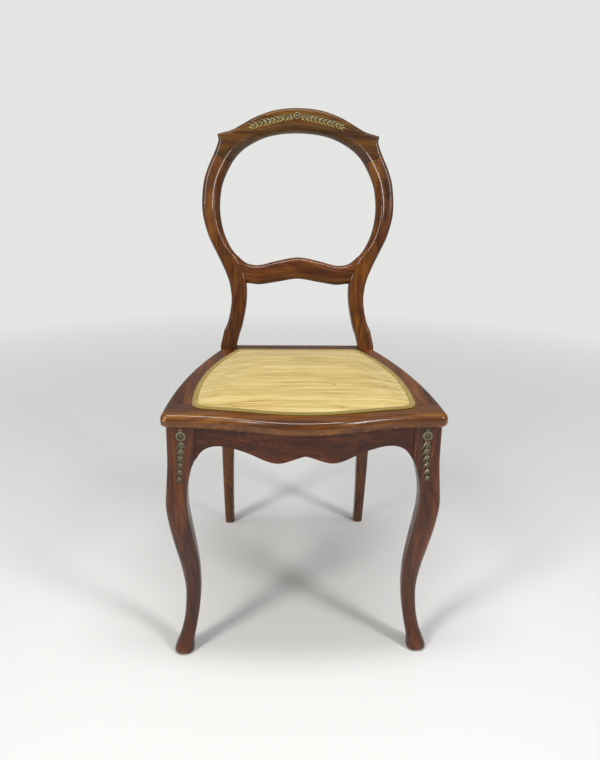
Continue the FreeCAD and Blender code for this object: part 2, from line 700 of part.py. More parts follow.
def crest_mounts(crest):
    """Rosette and two laurel branches along the crest."""
    low = 0.3 * BACK_THICKNESS
    high = 0.46 * BACK_THICKNESS + MOUNT_RELIEF
    top = DRAWN_HEIGHT - ROSETTE_BELOW_TOP
    mounts = {}
    for name, s in SIDES:
        def stem(share):
            reach = BRANCH_START + (BRANCH_REACH - LEAF_LENGTH - BRANCH_START) * share
            fall = BRANCH_BELOW_ROSETTE + BRANCH_FALL * (reach / BRANCH_REACH) ** 1.5
            return back_point(CREST_MOUNT_X + s * reach, top - fall)

        pieces = []
        for i in range(LEAF_PAIRS):
            share = i / (LEAF_PAIRS - 1)
            ahead = (stem(share + 0.05) - stem(share)).normalize()
            aside = BACK_NORMAL.cross(ahead)
            foot = stem(share) - ahead * 3
            for lean in (-0.6, 0.6):
                pieces.append(leaf(foot, ahead + aside * lean, LEAF_LENGTH, LEAF_WIDTH, low, high))
        pieces.append(leaf(stem(1.0), ahead, LEAF_LENGTH, LEAF_WIDTH, low, high))
        steps = [stem(i / 4) for i in range(5)]
        for a, b in zip(steps, steps[1:]):
            pieces.append(leaf(a - (b - a) * 0.15, b - a, (b - a).Length * 1.3, 2.4, low, high))
        mounts[name + "_crest_branch"] = cut_by(pieces[0].multiFuse(pieces[1:]), crest)
    flower = rosette(back_point(CREST_MOUNT_X, top), BACK_NORMAL, ROSETTE_RADIUS, low, high)
    mounts["crest_rosette"] = cut_by(flower, crest)
    return mounts


def leg_face(z):
    """y of the leg's front face at a height."""
    rows = [(share * SEAT_UNDER, LEG_FRONT - outer) for share, _, outer, _ in LEG_ROWS]
    for (z0, y0), (z1, y1) in zip(rows, rows[1:]):
        if z0 <= z <= z1:
            return y0 + (y1 - y0) * (z - z0) / (z1 - z0)
    return LEG_FRONT


def leg_mount(leg):
    """Right leg mount: a flower above a hanging string of husks."""
    normal = Vector(0, -1, 0)
    radius = LEG_MOUNT_WIDTH / 2
    flower_z = SEAT_TOP - LEG_MOUNT_TOP - radius
    x = LEG_OUTER - LEG_MOUNT_FROM_OUTER
    inside = -LEG_FRONT - 4
    pieces = [rosette(Vector(x, 0, flower_z), normal, radius, inside, -leg_face(flower_z) + MOUNT_RELIEF)]
    drop = Vector(LEG_MOUNT_LEAN, 0, -(LEG_MOUNT_LENGTH - 1.6 * radius))
    step = drop.Length / (LEG_HUSKS + 0.6)
    down = drop.normalize()
    for i in range(LEG_HUSKS):
        foot = Vector(x, 0, flower_z - 0.6 * radius) + down * (step * i)
        size = 1.0 - 0.4 * i / LEG_HUSKS
        reach = -leg_face(foot.z - step) + MOUNT_RELIEF
        pieces.append(leaf(foot - down * (step / 2), down, step * 2.1, 5.5 * size, inside, reach, normal))
        for lean in (-0.5, 0.5):
            direction = down + Vector(lean, 0, 0)
            pieces.append(leaf(foot, direction, 16.5 * size, 6 * size, inside, reach - 0.4, normal))
    return cut_by(pieces[0].multiFuse(pieces[1:]), leg)


# Assembly

def tenon_boxes(gap=0.0):
    """Right-hand tenons of the aprons in the leg and post, or with a gap their mortises."""
    low = SEAT_UNDER - TENON_BELOW_SEAT - TENON_HEIGHT
    half = TENON_THICKNESS / 2
    middle = APRON_INSET + APRON_THICKNESS / 2
    front_y = SEAT_CORNER_FRONT + middle
    side_x = SEAT_HALF_WIDTH - middle
    rear_x = SEAT_REAR_HALF_WIDTH - middle + 4
    rear_y = REAR_APRON_FRONT + REAR_APRON_DEPTH / 2
    sizes = {
        "front": (LEG_INNER - 8, LEG_INNER + FRONT_TENON, front_y - half, front_y + half),
        "side_front": (side_x - half, side_x + half, LEG_BACK - FRONT_TENON, LEG_BACK + 8),
        "side_rear": (rear_x - half, rear_x + half, POST_FRONT - REAR_TENON, POST_FRONT + REAR_TENON),
        "rear": (POST_INNER - 8, POST_INNER + REAR_TENON - 3, rear_y - half, rear_y + half),
    }
    return {name: box(x0 - gap, x1 + gap, y0 - gap, y1 + gap, low - gap, low + TENON_HEIGHT + gap)
            for name, (x0, x1, y0, y1) in sizes.items()}


def dowel_groups():
    """Right-hand dowels by node: the middle and direction of each."""
    x0, z0, x1, z1 = CREST_ROWS[0]
    joint = back_point(x0, z0)
    across = back_point(x1, z1) - joint
    along = BACK_NORMAL.cross(across)
    board = SEAT_TOP - SEAT_THICKNESS / 2
    seam = SEAT_CORNER_FRONT + FRONT_SEAM
    sideways, lengthwise = Vector(1, 0, 0), Vector(0, 1, 0)
    x_mid, z_mid = MID_ROWS[2][2] + 17, (MID_ROWS[2][1] + MID_ROWS[2][3]) / 2 + 6
    return {
        "crest_dowels": [(joint + across / 2, along)],
        "mid_rail_dowels": [(back_point(x_mid, z_mid), sideways)],
        "seat_frame_dowels": [
            (Vector(SEAT_HALF_WIDTH - 40, seam, board), lengthwise),
            (Vector(POST_INNER, POST_MIDDLE - REAR_SEAM + 12.5, board), sideways),
        ],
    }


def build():
    parts = {}
    post = back_post()
    posts = (post, mirrored(post))
    leg = front_leg()
    crest = crest_rail()
    middle_rail = mid_rail(posts)
    rails = seat_rails(posts)
    parts.update(crest_mounts(crest))
    mount = leg_mount(leg)

    # Aprons with their tenons, and the mortises for them
    tenons = tenon_boxes()
    mortises = tenon_boxes(TENON_GAP)
    apron = side_apron(leg, post).fuse([tenons["side_front"], tenons["side_rear"]]).removeSplitter()
    apron_front = front_apron((leg, mirrored(leg)))
    apron_front = apron_front.fuse([tenons["front"], mirrored(tenons["front"])]).removeSplitter()
    apron_rear = rear_apron(posts).fuse([tenons["rear"], mirrored(tenons["rear"])]).removeSplitter()
    leg = cut_by(leg, mortises["front"], mortises["side_front"])
    post = cut_by(post, mortises["side_rear"], mortises["rear"])

    # Dowels, and the holes for them
    for name, group in dowel_groups().items():
        pins = [dowel(*pin) for pin in group]
        holes = [dowel(*pin, gap=DOWEL_GAP) for pin in group]
        all_holes = holes + [mirrored(hole) for hole in holes]
        parts[name] = Part.makeCompound(pins + [mirrored(pin) for pin in pins])
        post = cut_by(post, *holes)
        if name == "crest_dowels":
            crest = cut_by(crest, *all_holes)
        elif name == "mid_rail_dowels":
            middle_rail = cut_by(middle_rail, *all_holes)
        else:
            rails = {rail: cut_by(shape, *all_holes) for rail, shape in rails.items()}

    # Corner blocks, and the screws that hold the seat frame through them
    blocks = {"front": corner_block(True, (apron_front, apron)),
              "rear": corner_block(False, (apron_rear, apron))}
    places = [Vector(b.CenterOfMass.x, b.CenterOfMass.y, SEAT_UNDER - BLOCK_HEIGHT) for b in blocks.values()]
    screws = [wood_screw(place) for place in places]
    holes = [wood_screw(place, SCREW_GAP) for place in places]
    parts["seat_frame_screws"] = Part.makeCompound(screws + [mirrored(s) for s in screws])
    blocks = {name: cut_by(block, *holes) for name, block in blocks.items()}
    all_holes = holes + [mirrored(hole) for hole in holes]
    parts.update({rail: cut_by(shape, *all_holes) for rail, shape in rails.items()})

    pairs = {"{}_back_post": post, "{}_front_leg": leg, "{}_apron": apron, "{}_leg_mount": mount,
             "front_{}_corner_block": blocks["front"], "rear_{}_corner_block": blocks["rear"]}
    for pattern, shape in pairs.items():
        parts[pattern.format("right")] = shape
        parts[pattern.format("left")] = mirrored(shape)
    parts["crest_rail"] = crest
    parts["mid_rail"] = middle_rail
    parts["front_apron"] = apron_front
    parts["rear_apron"] = apron_rear
    parts.update(upholstery())
    return parts


def main():
    parts = build()
    bounds = FreeCAD.BoundBox()
    for shape in parts.values():
        bounds.add(shape.optimalBoundingBox(False))
    shift = Vector(0, -(bounds.YMin + bounds.YMax) / 2, 0)
    os.makedirs("parts", exist_ok=True)
    for name, shape in parts.items():
        shape.translate(shift)
        shape.exportStep("parts/" + name + ".step")
    print("box", [round(v, 2) for v in (bounds.XMin, bounds.XMax, bounds.YMin, bounds.YMax, bounds.ZMax)])
    print("moved back by", round(-shift.y, 2))


main()
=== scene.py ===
"""Looks of the balloon back chair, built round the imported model.

Lengths of the pieces are written in millimetres in the frame that the wood was drawn in, and
at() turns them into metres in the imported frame. +Z is up and the chair faces -Y.
"""

import json
import math
import random

import bmesh
import bpy
from mathutils import Matrix, Vector


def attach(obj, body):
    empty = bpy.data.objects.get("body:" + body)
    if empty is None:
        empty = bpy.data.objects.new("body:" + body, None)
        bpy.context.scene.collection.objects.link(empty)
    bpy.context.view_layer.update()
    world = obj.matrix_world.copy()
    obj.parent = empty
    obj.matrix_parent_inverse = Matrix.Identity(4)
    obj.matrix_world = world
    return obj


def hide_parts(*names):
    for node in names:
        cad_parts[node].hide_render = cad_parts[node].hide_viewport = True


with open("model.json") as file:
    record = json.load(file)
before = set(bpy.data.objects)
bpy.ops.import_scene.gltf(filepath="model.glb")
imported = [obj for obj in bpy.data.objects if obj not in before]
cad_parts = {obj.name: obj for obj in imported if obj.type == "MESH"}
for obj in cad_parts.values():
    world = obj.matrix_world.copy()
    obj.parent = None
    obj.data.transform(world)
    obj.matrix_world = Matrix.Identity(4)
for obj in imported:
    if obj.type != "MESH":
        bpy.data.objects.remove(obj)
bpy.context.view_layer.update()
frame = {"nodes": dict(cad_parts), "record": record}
nodes = frame["nodes"]
dice = random.Random(11)

MOVED_BACK = -16.38

# Sizes that the pieces share with the wood
SEAT_TOP = 448.0
SEAT_UNDER = 427.0
POST_MIDDLE = 173.0
POST_DEPTH = 27.0
POST_INNER = 124.0
POST_OUTER = 157.0
BACK_THICKNESS = 24.0
MID_RAIL_THICKNESS = 22.0
RAKE = math.radians(10.1)
BACK_NORMAL = Vector((0, -math.cos(RAKE), math.sin(RAKE)))
LEG_OUTER = 210.5
LEG_INNER = 168.0
LEG_FRONT = -195.0
LEG_BACK = -152.5


def at(x, y, z):
    """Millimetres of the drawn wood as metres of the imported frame."""
    return Vector((x / 1000, (y + MOVED_BACK) / 1000, z / 1000))


def moved(point):
    return at(*point)


# Materials

class Shader:
    """A material with one principled shader, and short ways to add nodes to it."""

    def __init__(self, name, **values):
        self.material = bpy.data.materials.new(name)
        self.material.use_nodes = True
        self.tree = self.material.node_tree
        self.tree.nodes.clear()
        self.out = self.node("ShaderNodeOutputMaterial")
        self.bsdf = self.node("ShaderNodeBsdfPrincipled")
        self.tree.links.new(self.bsdf.outputs[0], self.out.inputs[0])
        for key, value in values.items():
            self.bsdf.inputs[key.replace("_", " ")].default_value = value
        self.place = self.node("ShaderNodeTexCoord").outputs["Object"]

    def node(self, kind, inputs=(), **settings):
        n = self.tree.nodes.new(kind)
        for key, value in settings.items():
            setattr(n, key, value)
        for key, value in dict(inputs).items():
            self.feed(n.inputs[key], value)
        return n

    def feed(self, socket, value):
        if isinstance(value, bpy.types.NodeSocket):
            self.tree.links.new(value, socket)
        else:
            socket.default_value = value

    def stretched(self, scale, shift=(0, 0, 0), turn=(0, 0, 0)):
        """Object coordinates, scaled; a small scale makes a pattern long in that direction."""
        inputs = {"Vector": self.place, "Location": shift, "Rotation": turn, "Scale": scale}
        return self.node("ShaderNodeMapping", inputs).outputs[0]

    def noise(self, where, scale, detail=4.0, roughness=0.55, distortion=0.0):
        inputs = {"Vector": where, "Scale": scale, "Detail": detail, "Roughness": roughness,
                  "Distortion": distortion}
        return self.node("ShaderNodeTexNoise", inputs).outputs[0]

    def ramp(self, value, *stops):
        """Colours or greys by value: each stop is a place and a grey or a colour."""
        n = self.node("ShaderNodeValToRGB", {0: value})
        while len(n.color_ramp.elements) < len(stops):
            n.color_ramp.elements.new(0.5)
        for element, (place, color) in zip(n.color_ramp.elements, stops):
            element.position = place
            element.color = (*color, 1) if isinstance(color, tuple) else (color, color, color, 1)
        return n.outputs[0]

    def math(self, operation, a, b=0.0):
        return self.node("ShaderNodeMath", {0: a, 1: b}, operation=operation).outputs[0]

    def mix(self, share, a, b, blend="MIX"):
        """Two colours mixed by a share."""
        n = self.node("ShaderNodeMix", data_type="RGBA", blend_type=blend)
        for socket, value in ((n.inputs[0], share), (n.inputs[6], a), (n.inputs[7], b)):
            self.feed(socket, (*value, 1) if isinstance(value, tuple) else value)
        return n.outputs[2]

    def spot(self, centre, radius, ragged=0.5, size=(1, 1, 1)):
        """1 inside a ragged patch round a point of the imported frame, in metres."""
        inverse = tuple(1 / s for s in size)
        offset = self.node("ShaderNodeVectorMath", {0: self.place, 1: tuple(centre)}, operation="SUBTRACT")
        shaped = self.node("ShaderNodeVectorMath", {0: offset.outputs[0], 1: inverse}, operation="MULTIPLY")
        far = self.node("ShaderNodeVectorMath", {0: shaped.outputs[0]}, operation="LENGTH").outputs["Value"]
        rough = self.noise(self.place, 2.2 / radius, 3.0)
        edge = self.math("ADD", self.math("DIVIDE", far, radius), self.math("MULTIPLY", rough, ragged))
        return self.ramp(edge, (0.6 + ragged * 0.5, 1.0), (min(0.999, 0.75 + ragged * 0.5), 0.0))

    def bump(self, *layers):
        """Bumps on top of each other: each is a height and its depth in metres."""
        normal = None
        for height, depth in layers:
            inputs = {"Height": height, "Distance": depth, "Strength": 1.0}
            if normal:
                inputs["Normal"] = normal
            normal = self.node("ShaderNodeBump", inputs).outputs[0]
        self.feed(self.bsdf.inputs["Normal"], normal)

    def paint(self, color=None, roughness=None):
        if color is not None:
            self.feed(self.bsdf.inputs["Base Color"], color)
        if roughness is not None:
            self.feed(self.bsdf.inputs["Roughness"], roughness)
        return self.material


ALONG = {"x": (0.07, 1, 1), "y": (1, 0.07, 1), "z": (1, 1, 0.07)}


def wood(name, grain, tone=1.0, red=1.0, gloss=0.75, figure=0.5, worn=(), low_edge=None, seed=0.0,
         joints=(), edges_worn_and_lit=True):
    """French-polished mahogany. Grain names the axis it runs along, tone brightens it, red warms
    it, worn holds (centre, radius, size) of patches where the polish has gone, and joints hold
    (point, normal) of glue lines on both sides of the chair."""
    s = Shader(name, Coat_Weight=0.65 * gloss, Coat_Roughness=0.09, Specular_IOR_Level=0.2)
    run = ALONG[grain]
    shift = (seed, seed * 1.7, seed * 0.6)
    where = s.stretched(run, shift)
    bent = s.stretched(tuple(0.16 if v < 1 else 1 for v in run), shift)
    streak = s.noise(where, 130.0, 6.0, 0.6, 0.2)
    broad = s.noise(where, 24.0, 3.0, 0.5, 0.4)
    swirl = s.noise(bent, 11.0, 2.0, 0.45, 0.9)
    rings = s.math("SINE", s.math("MULTIPLY", swirl, 110.0))
    rings = s.math("MULTIPLY", s.math("ADD", rings, 1.0), 0.5)
    cloudy = s.noise(s.place, 7.0, 2.0)
    value = s.math("ADD", s.math("MULTIPLY", streak, 0.55), s.math("MULTIPLY", broad, 0.45))
    value = s.math("ADD", value, s.math("MULTIPLY", s.math("SUBTRACT", rings, 0.5), 0.07 * figure))
    dark = (0.034 * tone, 0.0060 * tone / red, 0.0010 * tone)
    middle = (0.105 * tone, 0.0225 * tone / red, 0.0030 * tone)
    light = (0.220 * tone, 0.0600 * tone / red, 0.0070 * tone)
    color = s.ramp(value, (0.34, dark), (0.5, middle), (0.68, light))
    color = s.mix(s.ramp(cloudy, (0.35, 0.0), (0.7, 0.55)), color,
                  s.mix(1.0, color, (0.62, 0.55, 0.5), "MULTIPLY"))
    pores = s.ramp(s.noise(s.stretched(tuple(0.02 if v < 1 else 1 for v in run), shift), 900.0, 2.0),
                   (0.58, 0.0), (0.66, 1.0))
    color = s.mix(s.math("MULTIPLY", pores, 0.5), color, (0.012, 0.003, 0.0015))
    # Sharp edges painted lighter by Pointiness: partly polish rubbed through, partly a painted highlight
    # along the edges.
    if edges_worn_and_lit:
        edge_wear_and_highlight = s.ramp(s.node("ShaderNodeNewGeometry").outputs["Pointiness"], (0.53, 0.0), (0.62, 1.0))
        edge_wear_and_highlight = s.math("MULTIPLY", edge_wear_and_highlight, s.ramp(s.noise(s.place, 90.0, 4.0), (0.42, 0.0), (0.62, 0.6)))
        color = s.mix(edge_wear_and_highlight, color, (0.28 * tone, 0.100 * tone, 0.018 * tone))
    rough = s.ramp(s.noise(s.place, 35.0, 4.0), (0.3, 0.24), (0.75, 0.42))
    for centre, radius, size in worn:
        patch = s.spot(centre, radius, 0.6, size)
        color = s.mix(patch, color, (0.50, 0.21, 0.065))
        rough = s.mix(patch, rough, (0.6, 0.6, 0.6))
    for point, normal in joints:
        x, y, z = s.node("ShaderNodeSeparateXYZ", {0: s.place}).outputs
        folded = s.node("ShaderNodeCombineXYZ", {0: s.math("ABSOLUTE", x), 1: y, 2: z}).outputs[0]
        offset = s.node("ShaderNodeVectorMath", {0: folded, 1: tuple(point)}, operation="SUBTRACT")
        across = s.node("ShaderNodeVectorMath", {0: offset.outputs[0], 1: tuple(normal)},
                        operation="DOT_PRODUCT").outputs["Value"]
        ragged = s.math("MULTIPLY", s.math("SUBTRACT", s.noise(s.place, 120.0, 2.0), 0.5), 0.0008)
        far = s.math("ABSOLUTE", s.math("ADD", across, ragged))
        line = s.ramp(s.math("DIVIDE", far, 0.002), (0.35, 1.0), (0.6, 0.0))
        color = s.mix(line, color, (0.006, 0.003, 0.002))
    if low_edge:
        height = s.node("ShaderNodeSeparateXYZ", {0: s.place}).outputs[2]
        near = s.ramp(s.math("DIVIDE", s.math("SUBTRACT", height, low_edge), 0.006), (0.0, 1.0), (1.0, 0.0))
        chip = s.math("MULTIPLY", near, s.ramp(s.noise(s.place, 160.0, 3.0), (0.56, 0.0), (0.6, 1.0)))
        color = s.mix(s.math("MULTIPLY", chip, 0.75), color, (0.42, 0.17, 0.05))
    uneven = s.noise(s.place, 18.0, 2.0)
    s.bump((uneven, 0.0003), (streak, 0.00003), (s.math("SUBTRACT", 1.0, pores), 0.00003))
    return s.paint(color, rough)


def bare_wood(name):
    """Unpolished beech inside the seat frame."""
    s = Shader(name)
    streak = s.noise(s.stretched((0.1, 1, 1)), 160.0, 5.0)
    flecks = s.ramp(s.noise(s.stretched((0.1, 1, 1)), 700.0, 2.0), (0.6, 0.0), (0.68, 0.7))
    color = s.ramp(streak, (0.3, (0.20, 0.105, 0.045)), (0.7, (0.36, 0.21, 0.105)))
    color = s.mix(flecks, color, (0.12, 0.055, 0.022))
    grime = s.ramp(s.noise(s.place, 22.0, 4.0), (0.45, 0.0), (0.75, 0.7))
    color = s.mix(grime, color, (0.085, 0.05, 0.03))
    s.bump((streak, 0.0002), (s.noise(s.place, 400.0, 2.0), 0.00008))
    return s.paint(color, s.ramp(streak, (0.3, 0.6), (0.7, 0.8)))


def screw_steel(name):
    s = Shader(name, Metallic=0.9)
    rust = s.ramp(s.noise(s.place, 350.0, 5.0), (0.42, 0.0), (0.6, 1.0))
    s.bump((s.noise(s.place, 900.0, 3.0), 0.00008))
    return s.paint(s.mix(rust, (0.32, 0.30, 0.28), (0.13, 0.055, 0.025)),
                   s.ramp(rust, (0.0, 0.35), (1.0, 0.75)))


def woven(name, pale, dark, threads, depth, sheen=0.2):
    """Plain weave with the threads per metre along x and y."""
    s = Shader(name, Roughness=0.9, Sheen_Weight=sheen, Sheen_Roughness=0.6)
    turns = 2 * math.pi * threads
    x, y = s.node("ShaderNodeSeparateXYZ", {0: s.place}).outputs[:2]
    wobble = s.math("MULTIPLY", s.noise(s.place, 60.0, 3.0), 2.5)
    across = s.math("SINE", s.math("ADD", s.math("MULTIPLY", x, turns), wobble))
    along = s.math("SINE", s.math("ADD", s.math("MULTIPLY", y, turns), wobble))
    over = s.math("MULTIPLY", s.math("ADD", s.math("MULTIPLY", across, along), 1.0), 0.5)
    fibre = s.noise(s.place, threads * 3.0, 3.0)
    height = s.math("ADD", s.math("MULTIPLY", over, 0.8), s.math("MULTIPLY", fibre, 0.4))
    blotch = s.ramp(s.noise(s.place, 25.0, 4.0), (0.35, 0.0), (0.7, 0.6))
    color = s.ramp(height, (0.2, dark), (0.8, pale))
    color = s.mix(blotch, color, dark)
    s.bump((height, depth))
    return s.paint(color)


def silk(name, stains):
    """Slubbed silk: weft threads of uneven thickness that run across the seat."""
    s = Shader(name, Sheen_Weight=0.15, Sheen_Roughness=0.4, Specular_IOR_Level=0.35)
    thread = s.noise(s.stretched((0.018, 1, 1)), 620.0, 3.0, 0.6)
    slub = s.noise(s.stretched((0.035, 1, 1), (3, 0, 0)), 300.0, 3.0, 0.6)
    wide = s.noise(s.stretched((0.07, 1, 1), (7, 0, 0)), 75.0, 4.0, 0.6)
    value = s.math("ADD", s.math("MULTIPLY", thread, 0.28), s.math("MULTIPLY", slub, 0.42))
    value = s.math("ADD", value, s.math("MULTIPLY", wide, 0.30))
    color = s.ramp(value, (0.38, (0.33, 0.21, 0.050)), (0.46, (0.50, 0.36, 0.115)),
                   (0.54, (0.62, 0.48, 0.190)), (0.64, (0.74, 0.61, 0.31)))
    worn = s.ramp(s.noise(s.place, 9.0, 3.0), (0.4, 0.0), (0.75, 0.35))
    color = s.mix(worn, color, (0.52, 0.40, 0.17))
    for centre, radius, size, strength in stains:
        patch = s.math("MULTIPLY", s.spot(centre, radius, 0.6, size), strength)
        color = s.mix(patch, color, (0.30, 0.17, 0.035))
    warp = s.noise(s.stretched((1, 0.05, 1)), 900.0, 1.0)
    s.bump((slub, 0.0003), (thread, 0.0002), (warp, 0.00006))
    return s.paint(color, s.ramp(value, (0.4, 0.62), (0.65, 0.42)))


def gimp(name):
    s = Shader(name, Sheen_Weight=0.4, Sheen_Roughness=0.5)
    strands = s.noise(s.place, 1500.0, 2.0)
    faded = s.noise(s.place, 45.0, 4.0)
    color = s.ramp(strands, (0.3, (0.13, 0.085, 0.003)), (0.7, (0.40, 0.28, 0.014)))
    color = s.mix(s.ramp(faded, (0.4, 0.0), (0.7, 0.5)), color, (0.19, 0.135, 0.006))
    s.bump((strands, 0.0002))
    return s.paint(color, s.ramp(strands, (0.3, 0.75), (0.7, 0.5)))


def brass(name, pale, dark, green):
    """Old pressed brass: paler on the high spots, partly rubbed bright and partly painted highlight, with
    verdigris and dirt in the hollows.
    """
    s = Shader(name, Metallic=0.85)
    high = s.ramp(s.node("ShaderNodeNewGeometry").outputs["Pointiness"], (0.50, 0.0), (0.60, 1.0))
    blotch = s.noise(s.place, 260.0, 4.0, 0.6)
    color = s.mix(s.ramp(blotch, (0.42, 0.0), (0.6, 1.0)), dark, green)
    # High spots painted paler: partly polish rubbed bright, partly a painted highlight.
    polish_and_highlight = s.math("MULTIPLY", high, s.ramp(s.noise(s.place, 500.0, 3.0), (0.3, 0.45), (0.6, 1.0)))
    color = s.mix(polish_and_highlight, color, pale)
    s.bump((blotch, 0.00015))
    return s.paint(color, s.ramp(blotch, (0.35, 0.3), (0.7, 0.55)))


# Marks that the photograph shows: joints are a point and a normal, wear and stains are a centre,
# a radius and a shape, all in metres, and a stain ends with its strength
JOINT_RISE = 374.5
CREST_JOINT = [(at(166.0, POST_MIDDLE + JOINT_RISE * math.tan(RAKE), SEAT_TOP + JOINT_RISE),
                (-0.42, 0.159, 0.893))]
STAINS = (((-0.0906, -0.1905, 0.457), 0.008, (1.3, 1, 1), 0.8),
          ((0.0565, -0.1950, 0.457), 0.009, (2.2, 1, 1), 0.55),
          ((0.0510, -0.1080, 0.462), 0.006, (1.6, 1, 1), 0.6),
          ((0.0100, 0.0400, 0.464), 0.030, (1.5, 1, 1), 0.2))
SEAT_LOW_EDGE = 0.4275
STILE_WEAR = [((-0.1640, 0.190, 0.662), 0.003, (1, 3, 0.6)), ((0.1120, 0.150, 0.470), 0.004, (0.7, 3, 2.2))]
SEAT_CORNER_WEAR = [((-0.214, -0.222, 0.440), 0.010, (1, 1, 1)), ((0.219, -0.215, 0.432), 0.004, (2, 2, 1))]
LOOKS = {
    "post": wood("post_wood", grain="z", tone=1.10, red=0.72, gloss=0.85, figure=0.7, seed=0.3,
                 joints=CREST_JOINT, worn=STILE_WEAR),
    "crest": wood("crest_wood", grain="x", tone=0.78, red=0.60, gloss=0.85, figure=0.9, seed=1.1,
                  joints=CREST_JOINT),
    "mid": wood("mid_rail_wood", grain="x", tone=1.00, red=0.80, gloss=0.85, figure=1.4, seed=2.3),
    "leg": wood("leg_wood", grain="z", tone=0.90, red=1.00, gloss=0.7, figure=1.5, seed=3.1),
    "front_rail": wood("front_rail_wood", grain="x", tone=1.20, red=0.72, gloss=1.0, figure=0.5, seed=4.7,
                       edges_worn_and_lit=False, low_edge=SEAT_LOW_EDGE, worn=SEAT_CORNER_WEAR),
    "side_rail": wood("side_rail_wood", grain="y", tone=1.15, red=0.80, gloss=0.7, figure=0.4, seed=5.3,
                      edges_worn_and_lit=False, low_edge=SEAT_LOW_EDGE),
    "rear_rail": wood("rear_rail_wood", grain="x", tone=1.05, red=0.80, gloss=0.7, figure=0.4, seed=6.1,
                      edges_worn_and_lit=False),
    "front_apron": wood("front_apron_wood", grain="x", tone=0.60, red=1.10, gloss=0.45, figure=1.0,
                        seed=7.9, edges_worn_and_lit=False),
    "side_apron": wood("side_apron_wood", grain="y", tone=0.72, red=1.15, gloss=0.6, figure=0.7,
                       seed=8.3, edges_worn_and_lit=False),
    "rear_apron": wood("rear_apron_wood", grain="x", tone=0.72, red=1.1, gloss=0.5, figure=0.5,
                       seed=9.7, edges_worn_and_lit=False),
    "inner_wood": bare_wood("inner_wood"),
    "screw_steel": screw_steel("screw_steel"),
    "jute": woven("jute", (0.40, 0.27, 0.12), (0.20, 0.12, 0.05), 450, 0.0004),
    "hessian": woven("hessian", (0.36, 0.26, 0.13), (0.16, 0.10, 0.045), 550, 0.0004),
    "stuffing": woven("stuffing", (0.55, 0.48, 0.36), (0.35, 0.28, 0.18), 300, 0.0004),
    "silk": silk("silk", STAINS),
    "gimp": gimp("gimp"),
    "old_brass": brass("old_brass", (0.60, 0.52, 0.30), (0.050, 0.042, 0.018), (0.070, 0.078, 0.040)),
    "dark_brass": brass("dark_brass", (0.46, 0.40, 0.25), (0.034, 0.029, 0.014), (0.048, 0.054, 0.030)),
    "gold_brass": brass("gold_brass", (0.88, 0.72, 0.34), (0.22, 0.160, 0.055), (0.40, 0.32, 0.13)),
}
BY_NODE = {"crest_rail": "crest", "mid_rail": "mid", "seat_front_rail": "front_rail",
           "seat_rear_rail": "rear_rail", "seat_left_rail": "side_rail", "seat_right_rail": "side_rail",
           "front_apron": "front_apron", "rear_apron": "rear_apron", "left_apron": "side_apron",
           "right_apron": "side_apron", "left_front_leg": "leg", "right_front_leg": "leg",
           "left_back_post": "post", "right_back_post": "post"}
for piece in frame["record"]["subparts"]:
    look = BY_NODE.get(piece["node"], piece["material_slot"])
    look = {"brass": "old_brass", "polished_wood": "post"}.get(look, look)
    obj = nodes[piece["node"]]
    obj.data.materials.clear()
    obj.data.materials.append(LOOKS[look])


# Making pieces

def add_piece(name, vertices, faces, looks, slot, smooth_angle=50.0):
    """A mesh that rides on the chair, with its normals turned outwards."""
    mesh = bpy.data.meshes.new(name)
    mesh.from_pydata([tuple(v) for v in vertices], [], [tuple(f) for f in faces])
    bm = bmesh.new()
    bm.from_mesh(mesh)
    bmesh.ops.remove_doubles(bm, verts=bm.verts, dist=1e-6)
    bmesh.ops.recalc_face_normals(bm, faces=bm.faces)
    for face in bm.faces:
        face.smooth = True
    bm.to_mesh(mesh)
    bm.free()
    mesh.set_sharp_from_angle(angle=math.radians(smooth_angle))
    piece = bpy.data.objects.new(name, mesh)
    bpy.context.scene.collection.objects.link(piece)
    mesh.materials.append(LOOKS[looks])
    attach(piece, "root")
    return piece


def rings_mesh(rings, capped=True):
    """Vertices and faces of a skin over closed rings that all have as many points."""
    count = len(rings[0])
    vertices = [point for ring in rings for point in ring]
    faces = []
    for i in range(len(rings) - 1):
        for k in range(count):
            a, b = i * count + k, i * count + (k + 1) % count
            faces.append((a, b, b + count, a + count))
    if capped:
        faces.append(tuple(range(count)))
        faces.append(tuple(range((len(rings) - 1) * count, len(rings) * count)))
    return vertices, faces


def between(rows, steps):
    """Rows of numbers, with more put between each two on a smooth curve through them all."""
    last = len(rows) - 1
    out = []
    for i in range(last):
        four = [rows[min(max(i + k, 0), last)] for k in (-1, 0, 1, 2)]
        for k in range(steps):
            t = k / steps
            out.append([b + t / 2 * (c - a + t * (2 * a - 5 * b + 4 * c - d + t * (3 * b - a - 3 * c + d)))
                        for a, b, c, d in zip(*four)])
    return out + [list(rows[last])]


def mirror_x(points):
    return [Vector((-p[0], p[1], p[2])) for p in points]


# Back frame: the same rows as the wood has, on smoother curves

def back_point(half_width, rise):
    return Vector((half_width, POST_MIDDLE + rise * math.tan(RAKE), SEAT_TOP + rise))


